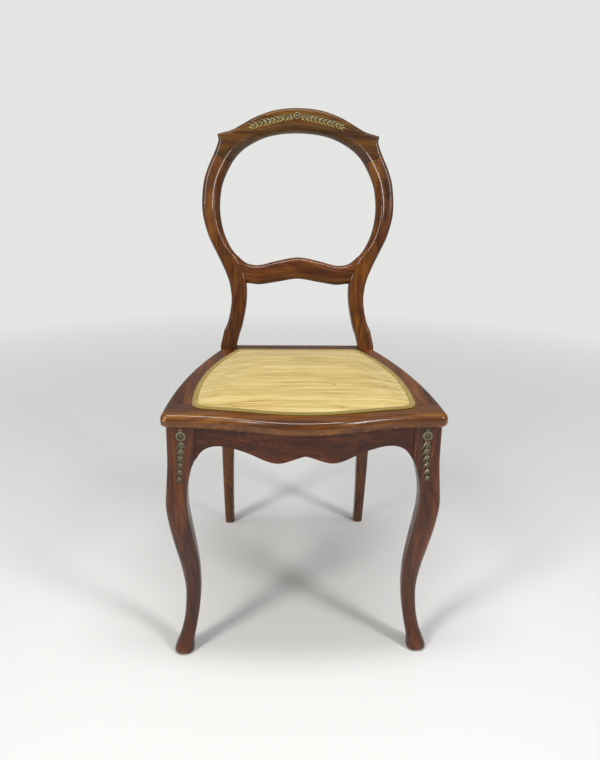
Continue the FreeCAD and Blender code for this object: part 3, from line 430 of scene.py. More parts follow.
# Across a rail, from its opening side to its outer side: share of the width, offset in millimetres
# and share of half the thickness
FRONT_PLAIN = ((0, 0, 0.1), (0, 0.25, 0.5), (0, 1.8, 0.82), (0, 6, 0.97), (0.5, 0, 1.03), (1, -6, 0.97),
               (1, -1.8, 0.82), (1, -0.25, 0.45), (1, 0, 0.1))
FRONT_MOULDED = ((0, 0, -0.1), (0, 2.4, 0.36), (0, 6.2, 0.78), (0, 10.5, 1.04), (0, 15.2, 0.98),
                 (1, -9.5, 0.92), (1, -4.6, 0.82), (1, -1.2, 0.48), (1, 0, 0.1))
BACK_SIDE = ((1, 0, -0.72), (1, -0.8, -0.93), (1, -2.6, -1), (0, 2.6, -1), (0, 0.8, -0.93), (0, 0, -0.72))
FRONT_RAIL = ((0, 0, 0.1), (0.02, 0, 0.42), (0.12, 0, 0.8), (0.3, 0, 0.99), (0.5, 0, 1.05), (0.7, 0, 0.99),
              (0.88, 0, 0.8), (0.98, 0, 0.42), (1, 0, 0.1))


def ring_across(inner, outer, thickness, front, normal=BACK_NORMAL):
    width = (outer - inner).length
    across = (outer - inner).normalized()
    profile = between(front, 4) + list(BACK_SIDE)
    return [moved(inner + across * (share * width + offset) + normal * (height * thickness / 2))
            for share, offset, height in profile]


def moulding(amount):
    return [[a + (b - a) * amount for a, b in zip(*pair)] for pair in zip(FRONT_PLAIN, FRONT_MOULDED)]


# Half width and rise above the seat of the opening's edge, then of the outer edge. The posts' rows
# end with how far the plain section has turned into the moulded one.
POST_ROWS = (
    (118.5, 26, 149.5, 34, 0.0),
    (112.0, 46, 140.5, 55, 0.0),
    (103.8, 90, 134.2, 91, 0.0),
    (103.7, 128, 136.3, 120, 0.0),
    (109.5, 154, 142.5, 142, 0.1),
    (121.5, 179, 153.5, 167, 0.3),
    (136.0, 199, 164.0, 188, 0.6),
    (149.5, 230, 179.7, 222, 0.9),
    (155.8, 268, 190.2, 266, 1.0),
    (153.0, 307, 188.0, 314, 1.0),
    (144.8, 333, 179.5, 345, 1.0),
    (131.8, 358.2, 166.0, 374.5, 1.0),
)
CREST_ROWS = (
    (131.8, 358.2, 166.0, 374.5),
    (127.2, 364.8, 160.1, 389.2),
    (122.4, 370.9, 157.0, 400.0),
    (118.3, 375.2, 158.6, 409.3),
    (114.9, 378.5, 153.6, 411.6),
    (107.6, 384.7, 131.0, 418.2),
    (96.6, 392.1, 113.5, 427.3),
    (84.4, 398.6, 96.0, 437.0),
    (72.6, 404.0, 80.0, 444.7),
    (55.7, 409.5, 60.5, 451.8),
    (37.9, 413.0, 41.0, 456.6),
    (19.0, 415.0, 20.5, 459.3),
    (0.0, 415.6, 0.0, 460.0),
)
MID_ROWS = (
    (140.0, 190.0, 118.0, 130.0),
    (125.5, 184.5, 104.0, 128.0),
    (104.0, 167.5, 95.0, 127.0),
    (78.0, 163.5, 76.0, 125.5),
    (42.0, 172.0, 40.0, 131.0),
    (0.0, 179.0, 0.0, 137.0),
)
FOOT_INNER = 141.5
FOOT_WIDTH = 21.0
FOOT_DEPTH = 21.0
REAR_SPLAY = 66.0
LEG_RINGS = 24
ROW_STEPS = 8


def post_rings():
    """Right post: splayed rear leg, straight stretch through the seat, and curved stile."""
    rings = []
    forward = Vector((0, -1, 0))
    for i in range(LEG_RINGS):
        share = i / LEG_RINGS
        inner = FOOT_INNER + (POST_INNER - FOOT_INNER) * share ** 1.6
        foot_outer = FOOT_INNER + FOOT_WIDTH
        outer = foot_outer + (POST_OUTER - foot_outer) * share ** 2 + 6.0 * share * (1 - share)
        depth = FOOT_DEPTH + (POST_DEPTH - FOOT_DEPTH) * share
        y = POST_MIDDLE + REAR_SPLAY * (1 - share) ** 1.3
        z = share * SEAT_UNDER
        ends = Vector((inner, y, z)), Vector((outer, y, z))
        rings.append(ring_across(*ends, depth, FRONT_PLAIN, forward))
    for z in (SEAT_UNDER, SEAT_UNDER + 10, SEAT_TOP, SEAT_TOP + 4):
        y = POST_MIDDLE + max(0, z - SEAT_TOP) * math.tan(RAKE)
        ends = Vector((POST_INNER, y, z)), Vector((POST_OUTER, y, z))
        rings.append(ring_across(*ends, POST_DEPTH, FRONT_PLAIN, forward))
    for x0, z0, x1, z1, amount in between(POST_ROWS, ROW_STEPS):
        rings.append(ring_across(back_point(x0, z0), back_point(x1, z1), BACK_THICKNESS, moulding(amount)))
    return rings


def both_ways(rows):
    """Rows from the left end to the right end, from rows that end in the middle."""
    left = [[-row[0], row[1], -row[2], row[3]] for row in rows[:-1]]
    return left + [list(row) for row in rows[::-1]]


right_rings = post_rings()
for side, rings in (("right", right_rings), ("left", [mirror_x(ring) for ring in right_rings])):
    stile = add_piece(side + "_stile_and_leg", *rings_mesh(rings), "post", "polished_wood", 40)
    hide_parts(side + "_back_post")
for name, rows, thickness, front, looks, node in (
        ("moulded_crest", CREST_ROWS, BACK_THICKNESS, FRONT_MOULDED, "crest", "crest_rail"),
        ("arched_rail", MID_ROWS, MID_RAIL_THICKNESS, FRONT_RAIL, "mid", "mid_rail")):
    rings = [ring_across(back_point(x0, z0), back_point(x1, z1), thickness, front)
             for x0, z0, x1, z1 in between(both_ways(rows), ROW_STEPS)]
    rail = add_piece(name, *rings_mesh(rings), looks, "polished_wood", 40)
    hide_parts(node)


# Cabriole legs

# Height as a share, how far the inner and the outer faces stand from the block's, corner softness
LEG_ROWS = (
    (0.000, 19.0, 5.0, 0.85), (0.014, 17.5, 8.4, 0.85), (0.050, 17.0, 3.0, 0.85),
    (0.090, 14.0, -3.5, 0.8), (0.140, 10.0, -8.8, 0.75), (0.200, 6.0, -12.5, 0.7),
    (0.290, 2.7, -14.2, 0.65), (0.390, 3.2, -9.8, 0.6), (0.490, 7.0, -2.8, 0.52),
    (0.590, 12.0, 3.6, 0.46), (0.680, 15.7, 6.8, 0.4), (0.755, 14.8, 4.8, 0.35),
    (0.825, 8.5, 2.4, 0.3), (0.880, 1.0, 1.0, 0.2), (1.000, 0.0, 0.0, 0.14),
)
LEG_ROW_STEPS = 6
CORNER_POINTS = 8
FOOT_BACK = 8.0
FOOT_SHARE = 0.3


def leg_ring(share, inner, outer, softness):
    """Rounded square. The foot kicks out less forward than sideways."""
    back = FOOT_BACK * max(0.0, 1 - share / FOOT_SHARE) ** 2
    x0, x1 = LEG_INNER + inner, LEG_OUTER + outer
    y0, y1 = LEG_FRONT - outer + back, LEG_BACK - inner + back
    half_x, half_y = (x1 - x0) / 2, (y1 - y0) / 2
    radius = softness * min(half_x, half_y)
    ring = []
    for quarter, (sx, sy) in enumerate(((1, 1), (-1, 1), (-1, -1), (1, -1))):
        for k in range(CORNER_POINTS):
            angle = math.radians(90 * quarter + 90 * k / (CORNER_POINTS - 1))
            x = (x0 + x1) / 2 + sx * (half_x - radius) + radius * math.cos(angle)
            y = (y0 + y1) / 2 + sy * (half_y - radius) + radius * math.sin(angle)
            ring.append(at(x, y, share * SEAT_UNDER))
    return ring


leg_rings = [leg_ring(*row) for row in between(LEG_ROWS, LEG_ROW_STEPS)]
for side, rings in (("right", leg_rings), ("left", [mirror_x(ring) for ring in leg_rings])):
    leg = add_piece(side + "_cabriole_leg", *rings_mesh(rings), "leg", "polished_wood", 45)
    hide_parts(side + "_front_leg")


# Seat pad: its outline on the wood, as tangent arcs with the heading at each end

SEAT_HALF_WIDTH = 219.0
BOW_HALF = 75.0
BOW_SHARE = 0.22
PAD_FRONT, PAD_BACK = -203.0, 141.0
PAD_HALF, PAD_CORNER_Y = 179.5, -171.5
PAD_CORNER_RADIUS = 24.0
PAD_CORNER_HEADING = math.radians(84.3)
PAD_REAR_HALF = 125.0
PAD_REAR_RADIUS = 19.0
ARC_STEPS = 40
PAD_ARCS = []


def arc_to(x, y):
    """Next arc of the outline, tangent to the one before."""
    start, heading = PAD_ARCS[-1][1:] if PAD_ARCS else ((0.0, PAD_FRONT), 0.0)
    turn = math.atan2(y - start[1], x - start[0]) - heading
    PAD_ARCS.append(((start, heading), (x, y), heading + 2 * turn))


def corner_to(radius, heading):
    """Next arc of the outline, with a radius and a heading at its end."""
    (x, y), before = PAD_ARCS[-1][1:]
    chord = 2 * radius * math.sin((heading - before) / 2)
    middle = (before + heading) / 2
    arc_to(x + chord * math.cos(middle), y + chord * math.sin(middle))


arc_to(BOW_HALF * PAD_HALF / SEAT_HALF_WIDTH, PAD_FRONT + BOW_SHARE * (PAD_CORNER_Y - PAD_FRONT))
start, heading = PAD_ARCS[-1][1:]
wing_turn = math.atan2(PAD_CORNER_Y - start[1], PAD_HALF - start[0]) - heading
wing = heading + 2 * wing_turn
arc_to(PAD_HALF - PAD_CORNER_RADIUS * math.cos(wing), PAD_CORNER_Y - PAD_CORNER_RADIUS * math.sin(wing))
corner_to(PAD_CORNER_RADIUS, PAD_CORNER_HEADING)
arc_to(PAD_REAR_HALF, PAD_BACK)
corner_to(PAD_REAR_RADIUS, math.radians(180))


def outline(inset, count):
    """Evenly spaced points of the pad's outline, moved in by an inset, and its length. Each point is
    x, y and its heading."""
    right = []
    for (start, before), end, after in PAD_ARCS:
        for k in range(ARC_STEPS):
            turn = before + (after - before) * k / ARC_STEPS
            if abs(after - before) < 1e-6:
                x = start[0] + (end[0] - start[0]) * k / ARC_STEPS
                y = start[1] + (end[1] - start[1]) * k / ARC_STEPS
            else:
                chord = math.hypot(end[0] - start[0], end[1] - start[1])
                radius = chord / 2 / math.sin((after - before) / 2)
                x = start[0] + radius * (math.sin(turn) - math.sin(before))
                y = start[1] - radius * (math.cos(turn) - math.cos(before))
            right.append((x - inset * math.sin(turn), y + inset * math.cos(turn), turn))
    (x, y), heading = PAD_ARCS[-1][1:]
    right.append((x - inset * math.sin(heading), y + inset * math.cos(heading), heading))
    left = [(-x, y, 2 * math.pi - turn) for x, y, turn in right[::-1]]
    whole = right + left
    lengths = [0.0]
    for a, b in zip(whole, whole[1:]):
        lengths.append(lengths[-1] + math.hypot(b[0] - a[0], b[1] - a[1]))
    points = []
    j = 0
    for i in range(count):
        target = lengths[-1] * i / count
        while lengths[j + 1] < target:
            j += 1
        t = (target - lengths[j]) / max(1e-9, lengths[j + 1] - lengths[j])
        points.append([a + (b - a) * t for a, b in zip(whole[j], whole[j + 1])])
    return points, lengths[-1]


# Stuffed pad: closed and crowned, settled under its own pressure, with its rim held by the braid

PAD_MIDDLE = Vector((0, (PAD_FRONT + PAD_BACK) / 2, 0))
RIM_INSET = 8.0
RIM_HEIGHT = 2.0
PAD_CROWN = 13.5
CROWN_FULLNESS = 2.1
PAD_UNDERSIDE = 0.4
PAD_POINTS_AROUND = 168
PAD_PRESSURE = 3.0
CLOTH_FRAMES = 20

# Settling, in metres: the most it moves, and the heights up to which it is held or slowed
MOST_SETTLING = 0.0025
HELD_HEIGHT = 0.0022
SLOWED_HEIGHT = 0.012


def pad_height(share):
    """Height above the wood by the share of the way from the rim to the middle."""
    return RIM_HEIGHT + PAD_CROWN * (1 - (1 - share) ** CROWN_FULLNESS)


def dome(count, shares):
    """Rings of the crowned top, from its rim to its middle."""
    edge = outline(RIM_INSET, count)[0]
    rings = []
    for share in shares:
        ring = []
        for x, y, _ in edge:
            flat = Vector((x, y, 0)).lerp(PAD_MIDDLE, share)
            ring.append(at(flat.x, flat.y, SEAT_TOP + pad_height(share)))
        rings.append(ring)
    return rings


def settle(piece, held, pressure, cap, fade):
    """Cloth pressure on a closed mesh. The held vertices stay where they are, and the rest move
    at most as far as the cap, less between the two heights of the fade."""
    scene = bpy.context.scene
    start = [v.co.copy() for v in piece.data.vertices]
    piece.vertex_groups.new(name="held").add(held, 1.0, "REPLACE")
    cloth = piece.modifiers.new("cloth", "CLOTH")
    cloth.settings.vertex_group_mass = "held"
    cloth.settings.use_pressure = True
    cloth.settings.uniform_pressure_force = pressure
    cloth.settings.effector_weights.gravity = 0.0
    cloth.settings.tension_stiffness = 30
    cloth.settings.compression_stiffness = 12
    cloth.settings.bending_stiffness = 2.0
    cloth.point_cache.frame_start = 1
    cloth.point_cache.frame_end = CLOTH_FRAMES
    for number in range(1, CLOTH_FRAMES + 1):
        scene.frame_set(number)
    graph = bpy.context.evaluated_depsgraph_get()
    end = [v.co.copy() for v in piece.evaluated_get(graph).data.vertices]
    piece.modifiers.remove(cloth)
    scene.frame_set(1)
    for vertex, a, b in zip(piece.data.vertices, start, end):
        step = b - a
        most = cap * min(1.0, max(0.0, (a.z - fade[0]) / (fade[1] - fade[0]))) ** 1.5
        if step.length > most:
            step *= most / step.length
        vertex.co = a + step


shares = [0.0, 0.012, 0.03, 0.055] + [0.09 + 0.0625 * i for i in range(14)] + [0.955]
pad_rings = dome(PAD_POINTS_AROUND, shares)
rim = outline(RIM_INSET, PAD_POINTS_AROUND)[0]
under = [at(x, y, SEAT_TOP + PAD_UNDERSIDE) for x, y, _ in rim]
vertices, faces = rings_mesh([under] + pad_rings)
pad = add_piece("stuffed_pad", vertices, faces, "silk", "silk", 60)
low = min(v.co.z for v in pad.data.vertices)
held = [v.index for v in pad.data.vertices if v.co.z < low + HELD_HEIGHT]
settle(pad, held, PAD_PRESSURE, MOST_SETTLING, (low + HELD_HEIGHT, low + SLOWED_HEIGHT))
divided = pad.modifiers.new("smooth", "SUBSURF")
divided.levels = divided.render_levels = 1
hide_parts("seat_cover", "seat_stuffing")


# Scroll braid: a flat ribbon with two plaited cords and a picot cord along each edge

def braid_frame(inset, height, count):
    """Points along the braid, at an inset and height that follow the place along it."""
    points = []
    base, length = outline(0.0, count)
    for i, (x, y, turn) in enumerate(base):
        along = length * i / count
        d, h = inset(along), height(along)
        points.append(at(x - d * math.sin(turn), y + d * math.cos(turn), SEAT_TOP + h))
    return points


def tube(path, radius, sides=6):
    """Closed cord through points that lie nearly level."""
    rings = []
    count = len(path)
    for i, point in enumerate(path):
        ahead = (path[(i + 1) % count] - path[i - 1]).normalized()
        aside = ahead.cross(Vector((0, 0, 1))).normalized()
        above = aside.cross(ahead)
        ring = []
        for k in range(sides):
            angle = 2 * math.pi * k / sides
            ring.append(point + aside * (radius * math.cos(angle)) + above * (radius * math.sin(angle)))
        rings.append(ring)
    return rings_mesh(rings + [rings[0]], capped=False)


def merged(parts):
    """One mesh out of several, each its vertices and faces."""
    vertices, faces = [], []
    for more, shapes in parts:
        base = len(vertices)
        vertices += more
        faces += [tuple(i + base for i in shape) for shape in shapes]
    return vertices, faces


# Insets and heights in millimetres, and the radii of the cords in metres
RIBBON_POINTS = 400
BRAID_MIDDLE, BRAID_SWING = 5.4, 3.1
PLAIT_HEIGHT, PLAIT_RISE = 1.9, 0.55
PICOT_SWING, PICOT_HEIGHT, PICOT_RISE = 0.5, 1.25, 0.25
PLAIT_RADIUS, PICOT_RADIUS = 0.00085, 0.00095
BRAID_LENGTH = outline(0.0, RIBBON_POINTS)[1]
BRAID_TURNS = round(BRAID_LENGTH / 6.6)
PITCH = BRAID_LENGTH / BRAID_TURNS
STEPS = BRAID_TURNS * 10


def wave(phase, along, turns=1.0):
    return math.sin(2 * math.pi * (along / PITCH * turns) + phase)


cords = []
for phase in (0.0, 2 * math.pi / 3, 4 * math.pi / 3):
    path = braid_frame(lambda a: BRAID_MIDDLE + BRAID_SWING * wave(phase, a),
                       lambda a: PLAIT_HEIGHT + PLAIT_RISE * wave(2 * phase + 0.8, a, 2.0), STEPS)
    cords.append(tube(path, PLAIT_RADIUS))
for middle, phase in ((0.95, 0.0), (10.0, math.pi)):
    path = braid_frame(lambda a: middle + PICOT_SWING * wave(phase, a),
                       lambda a: PICOT_HEIGHT + PICOT_RISE * wave(phase, a, 2.0), STEPS)
    cords.append(tube(path, PICOT_RADIUS))
ribbon = [braid_frame(lambda a, d=d: d, lambda a, h=h: h, RIBBON_POINTS)
          for d, h in ((0.5, 0.1), (0.5, 1.1), (5.4, 1.5), (10.4, 1.3), (10.4, 0.1))]
sections = [list(section) for section in zip(*ribbon)]
cords.append(rings_mesh(sections + [sections[0]], capped=False))
braid = add_piece("scroll_braid", *merged(cords), "gimp", "gimp", 180)
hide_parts("gimp_braid")


# Hessian and jute webbing under the stuffing, seen from below

WEB_PITCH = 75
WEB_STEPS = 90
WEB_LEVEL = 1.7
WEB_WEAVE = 0.5
WEB_BACK = 124
WEB_FRONTS = (-186, -175)
WEB_REACHES = (155, 146, 128)
WEB_SECTION = ((-25, -0.4), (-12, -0.5), (0, -0.4), (12, -0.5), (25, -0.4),
               (25, 0.4), (12, 0.5), (0, 0.4), (-12, 0.5), (-25, 0.4))


def web_height(x, y, lengthwise):
    """Webbing weaves over and under the strips that cross it, and bows down a little."""
    y -= PAD_MIDDLE.y
    bow = -1.2 * math.cos(math.pi * x / 330) * math.cos(math.pi * y / 340)
    over = math.cos(math.pi * x / WEB_PITCH) * math.cos(math.pi * y / WEB_PITCH)
    return SEAT_TOP + WEB_LEVEL + max(-1.0, bow) + (WEB_WEAVE if lengthwise else -WEB_WEAVE) * over


def webbing(name, lengthwise):
    """Three strips. Of those from front to back the outer two stop short of the pad's corners, and
    those from side to side grow shorter towards the back."""
    parts = []
    cross = Vector((1, 0, 0)) if lengthwise else Vector((0, 1, 0))
    for i in (-1, 0, 1):
        strip = []
        front, reach = WEB_FRONTS[abs(i)], WEB_REACHES[i + 1]
        for k in range(WEB_STEPS + 1):
            if lengthwise:
                x, y = WEB_PITCH * i, front + (WEB_BACK - front) * k / WEB_STEPS
            else:
                x, y = -reach + 2 * reach * k / WEB_STEPS, PAD_MIDDLE.y + WEB_PITCH * i
            ring = []
            for side, lift in WEB_SECTION:
                place = Vector((x, y, 0)) + cross * side
                ring.append(at(place.x, place.y, web_height(place.x, place.y, lengthwise) + lift))
            strip.append(ring)
        parts.append(rings_mesh(strip))
    piece = add_piece(name, *merged(parts), "jute", "jute", 40)
    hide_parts("webbing_lengthwise" if lengthwise else "webbing_crosswise")


webbing("lengthwise_webbing", True)
webbing("crosswise_webbing", False)
HESSIAN_INSET, HESSIAN_HEIGHT, HESSIAN_SAG = 22.0, 3.2, 0.3
HESSIAN_POINTS = 120
hessian_edge = outline(HESSIAN_INSET, HESSIAN_POINTS)[0]
hessian_rings = []
for share in [i / 16 for i in range(16)] + [0.985]:
    ring = []
    for x, y, _ in hessian_edge:
        flat = Vector((x, y, 0)).lerp(PAD_MIDDLE, share)
        ring.append(at(flat.x, flat.y, SEAT_TOP + HESSIAN_HEIGHT - HESSIAN_SAG * share))
    hessian_rings.append(ring)
vertices, faces = rings_mesh(hessian_rings, capped=False)
faces.append(tuple(range(len(vertices) - HESSIAN_POINTS, len(vertices))))
hessian = add_piece("hessian_sheet", vertices, faces, "hessian", "hessian", 180)
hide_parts("hessian_cloth")


# Brass mounts

def leaf(foot, along, normal, length, width, low, high, ridge=0.35, tip=0.6, sink=2.0):
    """Domed leaf with a raised rib, and a rim that goes down into the wood. Millimetres."""
    along = along.normalized()
    aside = normal.cross(along).normalized()
    columns, rows = 8, 6
    grid = []
    for i in range(columns + 1):
        u = i / columns
        half = width / 2 * max(0.04, math.sin(math.pi * u ** tip)) ** 0.8
        row = []
        for j in range(rows + 1):
            v = 2 * j / rows - 1
            dome = (1 - v * v) * math.sin(math.pi * min(1, 0.12 + 0.8 * u))
            rib = ridge if j == rows // 2 else 0.0
            lift = low + (high - low) * dome + rib * math.sin(math.pi * min(1, 0.1 + 0.85 * u))
            row.append(foot + along * (u * length) + aside * (v * half) + normal * lift)
        grid.append(row)
    points = [point for row in grid for point in row]
    stride = rows + 1
    faces = []
    for i in range(columns):
        for j in range(rows):
            a = i * stride + j
            faces.append((a, a + 1, a + stride + 1, a + stride))
    order = list(range(stride)) + [i * stride + rows for i in range(1, columns + 1)]
    order += [columns * stride + j for j in range(rows - 1, -1, -1)]
    order += [i * stride for i in range(columns - 1, 0, -1)]
    vertices = [moved(point) for point in points]
    base = len(vertices)
    vertices += [moved(points[k] - normal * sink) for k in order]
    for k in range(len(order)):
        n = (k + 1) % len(order)
        faces.append((order[k], order[n], base + n, base + k))
    faces.append(tuple(range(base, base + len(order))))
    return vertices, faces


def turned(middle, normal, profile, sides=28, petals=0, depth=0.0):
    """Turned form round a normal; petals wave its radius in and out by a share."""
    side = normal.cross(Vector((1, 0, 0)))
    if side.length < 0.1:
        side = normal.cross(Vector((0, 0, 1)))
    side.normalize()
    aside = normal.cross(side)
    rings = []
    for radius, height in profile:
        ring = []
        for k in range(sides):
            angle = 2 * math.pi * k / sides
            wide = radius * (1 + depth * math.cos(petals * angle)) if petals else radius
            ring.append(moved(middle + side * (wide * math.cos(angle)) + aside * (wide * math.sin(angle))
                              + normal * height))
        rings.append(ring)
    return rings_mesh(rings)


# The mount sits a little left of the middle, and its left branch hangs lower, as photographed
MOUNT_X = -4.0
ROSETTE_RISE = 443.5
FACE = 0.49 * BACK_THICKNESS
BRANCH_LENGTH = 99.0
BRANCH_FALLS = {-1: 23.0, 1: 20.5}
FIRST_PAIR, LAST_PAIR = 11.0, 86.0
LEAF_PAIRS = 10
STEM_PIECES = 8
LEAF_SINK = 0.3


def stem(side, reach):
    """Point of a branch by its distance from the middle of the mount."""
    fall = 2.2 + BRANCH_FALLS[side] * (reach / BRANCH_LENGTH) ** 1.5
    return back_point(MOUNT_X + side * reach, ROSETTE_RISE - fall)


for name, side in (("left", -1), ("right", 1)):
    dark_leaves, pale_leaves = [], []
    for i in range(LEAF_PAIRS):
        reach = FIRST_PAIR + (LAST_PAIR - FIRST_PAIR) * i / (LEAF_PAIRS - 1)
        ahead = (stem(side, reach + 2) - stem(side, reach)).normalized()
        upward = BACK_NORMAL.cross(ahead).normalized() * side
        size = 1.0 - 0.16 * abs(i / (LEAF_PAIRS - 1) - 0.45)
        for way, leaves in ((1, dark_leaves), (-1, pale_leaves)):
            lean = 0.62 + dice.uniform(-0.12, 0.14)
            length = (13.6 if way > 0 else 13.2) * size * dice.uniform(0.92, 1.08)
            width = (5.4 if way > 0 else 4.0) * size
            foot = stem(side, reach) - ahead * 3.0 + upward * (0.5 * way)
            leaves.append(leaf(foot, ahead + upward * (lean * way), BACK_NORMAL, length, width,
                               FACE - LEAF_SINK, FACE + dice.uniform(1.3, 1.8)))
            if way > 0 and i % 2 == 0:
                foot = stem(side, reach + 3.5) + upward * 1.0
                leaves.append(leaf(foot, ahead + upward * 0.28, BACK_NORMAL, length * 0.8, 4.2,
                                   FACE + 0.1, FACE + 1.9))
    end = stem(side, LAST_PAIR)
    ahead = (end - stem(side, LAST_PAIR - 2)).normalized()
    pale_leaves.append(leaf(end, ahead, BACK_NORMAL, 12.5, 4.0, FACE - LEAF_SINK, FACE + 1.3))
    for i in range(STEM_PIECES):
        a, b = stem(side, 9.0 + 10.0 * i), stem(side, 20.5 + 10.0 * i)
        dark_leaves.append(leaf(a, b - a, BACK_NORMAL, (b - a).length, 1.9, FACE + 0.2, FACE + 1.3,
                                ridge=0.0, tip=1.0))
    branch = add_piece(name + "_laurel_branch", *merged(dark_leaves), "old_brass", "brass", 60)
    edge = add_piece(name + "_laurel_lower_leaves", *merged(pale_leaves), "gold_brass", "brass", 60)
    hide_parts(name + "_crest_branch")

ROSETTE = ((6.3, FACE - 2.5), (6.3, FACE + 0.5), (6.0, FACE + 1.1), (5.3, FACE + 1.5), (4.6, FACE + 1.1),
           (4.2, FACE + 0.5), (3.0, FACE + 0.4), (2.6, FACE + 0.7), (2.1, FACE + 1.5), (1.2, FACE + 1.9),
           (0.3, FACE + 2.0))
middle = back_point(MOUNT_X, ROSETTE_RISE)
rosette = add_piece("ringed_rosette", *turned(middle, BACK_NORMAL, ROSETTE), "old_brass", "brass", 60)
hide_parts("crest_rosette")


def leg_face(z):
    """y of the leg's front face at a height."""
    rows = [(share * SEAT_UNDER, LEG_FRONT - outer)
            for share, _, outer, _ in between(LEG_ROWS, LEG_ROW_STEPS)]
    for (z0, y0), (z1, y1) in zip(rows, rows[1:]):
        if z0 <= z <= z1:
            return y0 + (y1 - y0) * (z - z0) / (z1 - z0)
    return LEG_FRONT


# Radius and height above the leg's face
FLOWER = ((7.4, -2), (7.4, 0.4), (6.6, 1.3), (5.0, 1.5), (3.7, 0.6), (3.0, 0.7), (2.5, 1.7), (1.2, 2.2),
          (0.3, 2.2))
RING_PIN = ((2.6, -2), (2.6, 0.5), (1.9, 0.9), (1.3, 0.5), (1.2, -0.5))
BEAD = ((1.25, -1), (1.25, 1.4), (0.9, 2.1), (0.2, 2.4))
FLOWER_X, HUSKS_END_X = 188.5, 193.7
FLOWER_Z, HUSKS_TOP_Z, HUSKS_END_Z = 411.4, 402.5, 333.0
PETALS = 8
HUSK_TIERS = 6

# Lean, length, width and height of the leaves of one tier
HUSK_LEAVES = ((-0.75, 18.5, 5.2, 1.9), (0.66, 14.5, 5.0, 1.3), (-0.20, 16.0, 5.0, 2.4),
               (0.25, 15.0, 4.4, 2.0))


def raised(profile, face):
    return [(radius, face + height) for radius, height in profile]


def husk_drop(mirror):
    """Flower, pin and a string of husks that twists down the leg. The left one isn't mirrored
    in its twist: both strings turn the same way."""
    front = Vector((0, -1, 0))
    x0, x1 = FLOWER_X * mirror, HUSKS_END_X * mirror
    centre = Vector((x0, 0, FLOWER_Z))
    rim = -leg_face(FLOWER_Z)
    parts = [turned(centre, front, raised(FLOWER, rim), 48, PETALS, 0.08)]
    for k in range(PETALS):
        angle = math.pi / PETALS + k * 2 * math.pi / PETALS
        way = Vector((math.cos(angle), 0, math.sin(angle)))
        parts.append(leaf(centre + way * 3.2, way, front, 5.2, 3.6, rim + 0.5, rim + 1.9, 0.0, 1.1))
    parts.append(turned(centre + Vector((0, 0, 9.2)), front, raised(RING_PIN, rim), 20))
    for i in range(HUSK_TIERS):
        share = i / HUSK_TIERS
        z = HUSKS_TOP_Z + (HUSKS_END_Z - HUSKS_TOP_Z) * share
        x = x0 + (x1 - x0) * share
        size = 1.0 - 0.38 * share
        rim = -leg_face(z - 6)
        foot = Vector((x, 0, z))
        down = Vector((0.05 * mirror, 0, -1))
        for lean, length, width, lift in HUSK_LEAVES:
            start = foot + Vector((1.3 * (1 if lean < 0 else -1) * size, 0, 0))
            parts.append(leaf(start, down + Vector((lean, 0, 0)), front, length * size, width * size,
                              rim - 0.2, rim + lift, 0.3, 0.75))
        for k, dx in enumerate((-2.4, 0.6, 3.0)):
            bead = foot + Vector((dx * size, 0, -1.0 - 0.7 * k))
            parts.append(turned(bead, front, raised(BEAD, rim), 10))
    rim = -leg_face(HUSKS_END_Z + 3)
    last = Vector((x1, 0, HUSKS_END_Z + 10.5))
    parts.append(leaf(last, Vector((0.03 * mirror, 0, -1)), front, 11.0, 3.8, rim - 0.2, rim + 1.9))
    return merged(parts)


for name, mirror in (("left", -1), ("right", 1)):
    drop = add_piece(name + "_husk_drop", *husk_drop(mirror), "dark_brass", "brass", 60)
    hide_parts(name + "_leg_mount")


# Floor, camera and light

BACKGROUND = (0.78, 0.78, 0.77)
FLOOR_SIZE = 14
FADE_REACH = 6.0


def floor_look():
    """Pale floor that fades into the background colour far from the chair."""
    s = Shader("pale_floor", Base_Color=(0.80, 0.80, 0.79, 1), Roughness=0.6)
    far = s.node("ShaderNodeVectorMath", {0: s.place}, operation="LENGTH").outputs["Value"]
    seen = s.node("ShaderNodeLightPath").outputs["Is Camera Ray"]
    faded = s.ramp(s.math("DIVIDE", far, FADE_REACH), (0.08, 0.0), (0.42, 1.0))
    share = s.math("MULTIPLY", faded, seen)
    glow = s.node("ShaderNodeEmission", {"Color": (*BACKGROUND, 1), "Strength": 1.0})
    blend = s.node("ShaderNodeMixShader", {0: share, 1: s.bsdf.outputs[0], 2: glow.outputs[0]})
    s.tree.links.new(blend.outputs[0], s.out.inputs[0])
    return s.material


bpy.ops.mesh.primitive_plane_add(size=FLOOR_SIZE, location=(0, 0, 0))
floor = bpy.context.object
floor.name = "floor"
floor.data.materials.append(floor_look())

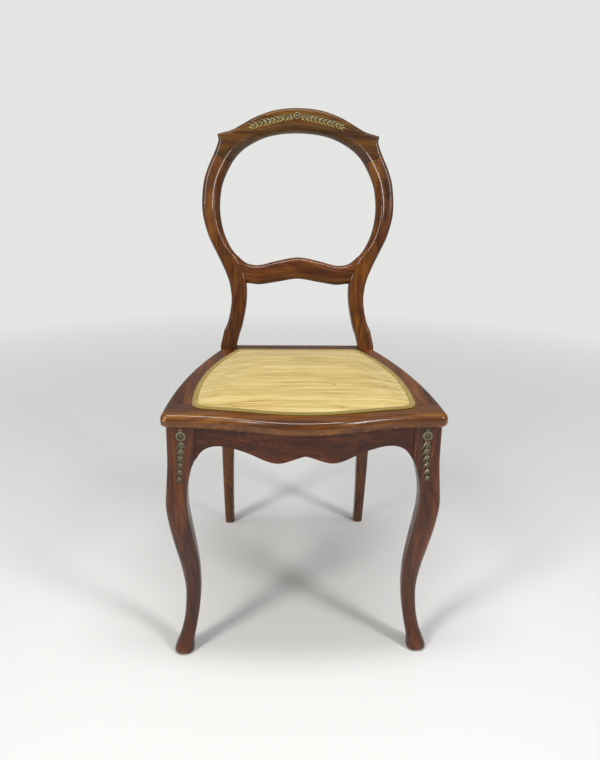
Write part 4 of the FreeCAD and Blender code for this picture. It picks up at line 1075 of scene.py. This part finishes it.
# Fitted to the photograph: metres, radians, and the focal length in its pixels
CAMERA_PLACE = (-0.0467, -1.0845, 0.8001)
CAMERA_YAW = 0.04285
CAMERA_PITCH = 0.32875
CAMERA_ROLL = 0.01518
FOCAL_PIXELS = 624.84
IMAGE_HEIGHT = 760
SENSOR = 36.0
camera_data = bpy.data.cameras.new("camera")
camera_data.sensor_width = SENSOR
camera_data.lens = SENSOR * FOCAL_PIXELS / IMAGE_HEIGHT
camera_data.clip_start = 0.05
camera = bpy.data.objects.new("camera", camera_data)
bpy.context.scene.collection.objects.link(camera)
flat_forward = Vector((math.sin(CAMERA_YAW), math.cos(CAMERA_YAW), 0))
right = Vector((math.cos(CAMERA_YAW), -math.sin(CAMERA_YAW), 0))
ahead = flat_forward * math.cos(CAMERA_PITCH) - Vector((0, 0, 1)) * math.sin(CAMERA_PITCH)
above = right.cross(ahead)
tilted_right = right * math.cos(CAMERA_ROLL) + above * math.sin(CAMERA_ROLL)
tilted_up = above * math.cos(CAMERA_ROLL) - right * math.sin(CAMERA_ROLL)
facing = Matrix((tilted_right, tilted_up, -ahead)).transposed()
camera.matrix_world = Matrix.Translation(CAMERA_PLACE) @ facing.to_4x4()
bpy.context.scene.camera = camera

WORLD_STRENGTH = 0.27
world = bpy.data.worlds.new("world")
bpy.context.scene.world = world
world.use_nodes = True
tree = world.node_tree
light = tree.nodes["Background"]
light.inputs[0].default_value = (0.86, 0.88, 0.9, 1)
light.inputs[1].default_value = WORLD_STRENGTH
shown = tree.nodes.new("ShaderNodeBackground")
shown.inputs[0].default_value = (*BACKGROUND, 1)
shown.inputs[1].default_value = 1.0
seen = tree.nodes.new("ShaderNodeLightPath")
either = tree.nodes.new("ShaderNodeMixShader")
tree.links.new(seen.outputs["Is Camera Ray"], either.inputs[0])
tree.links.new(light.outputs[0], either.inputs[1])
tree.links.new(shown.outputs[0], either.inputs[2])
tree.links.new(either.outputs[0], tree.nodes["World Output"].inputs[0])


def lamp(name, place, target, size, power, color=(1, 1, 1)):
    """Soft rectangular light that points at a target."""
    data = bpy.data.lights.new(name, "AREA")
    data.shape = "RECTANGLE"
    data.size, data.size_y = size
    data.energy = power
    data.color = color
    obj = bpy.data.objects.new(name, data)
    bpy.context.scene.collection.objects.link(obj)
    obj.location = place
    obj.rotation_euler = (Vector(target) - Vector(place)).to_track_quat("-Z", "Y").to_euler()


lamp("window_left", (-1.5, -1.5, 1.9), (0, 0, 0.5), (0.5, 1.3), 36, (1.0, 0.98, 0.95))
lamp("window_right", (1.5, -1.4, 1.8), (0, 0, 0.5), (0.4, 1.3), 28)
lamp("ceiling", (0.0, -0.3, 2.6), (0, 0, 0.4), (1.6, 0.4), 28)

bpy.context.scene.view_settings.view_transform = "Standard"
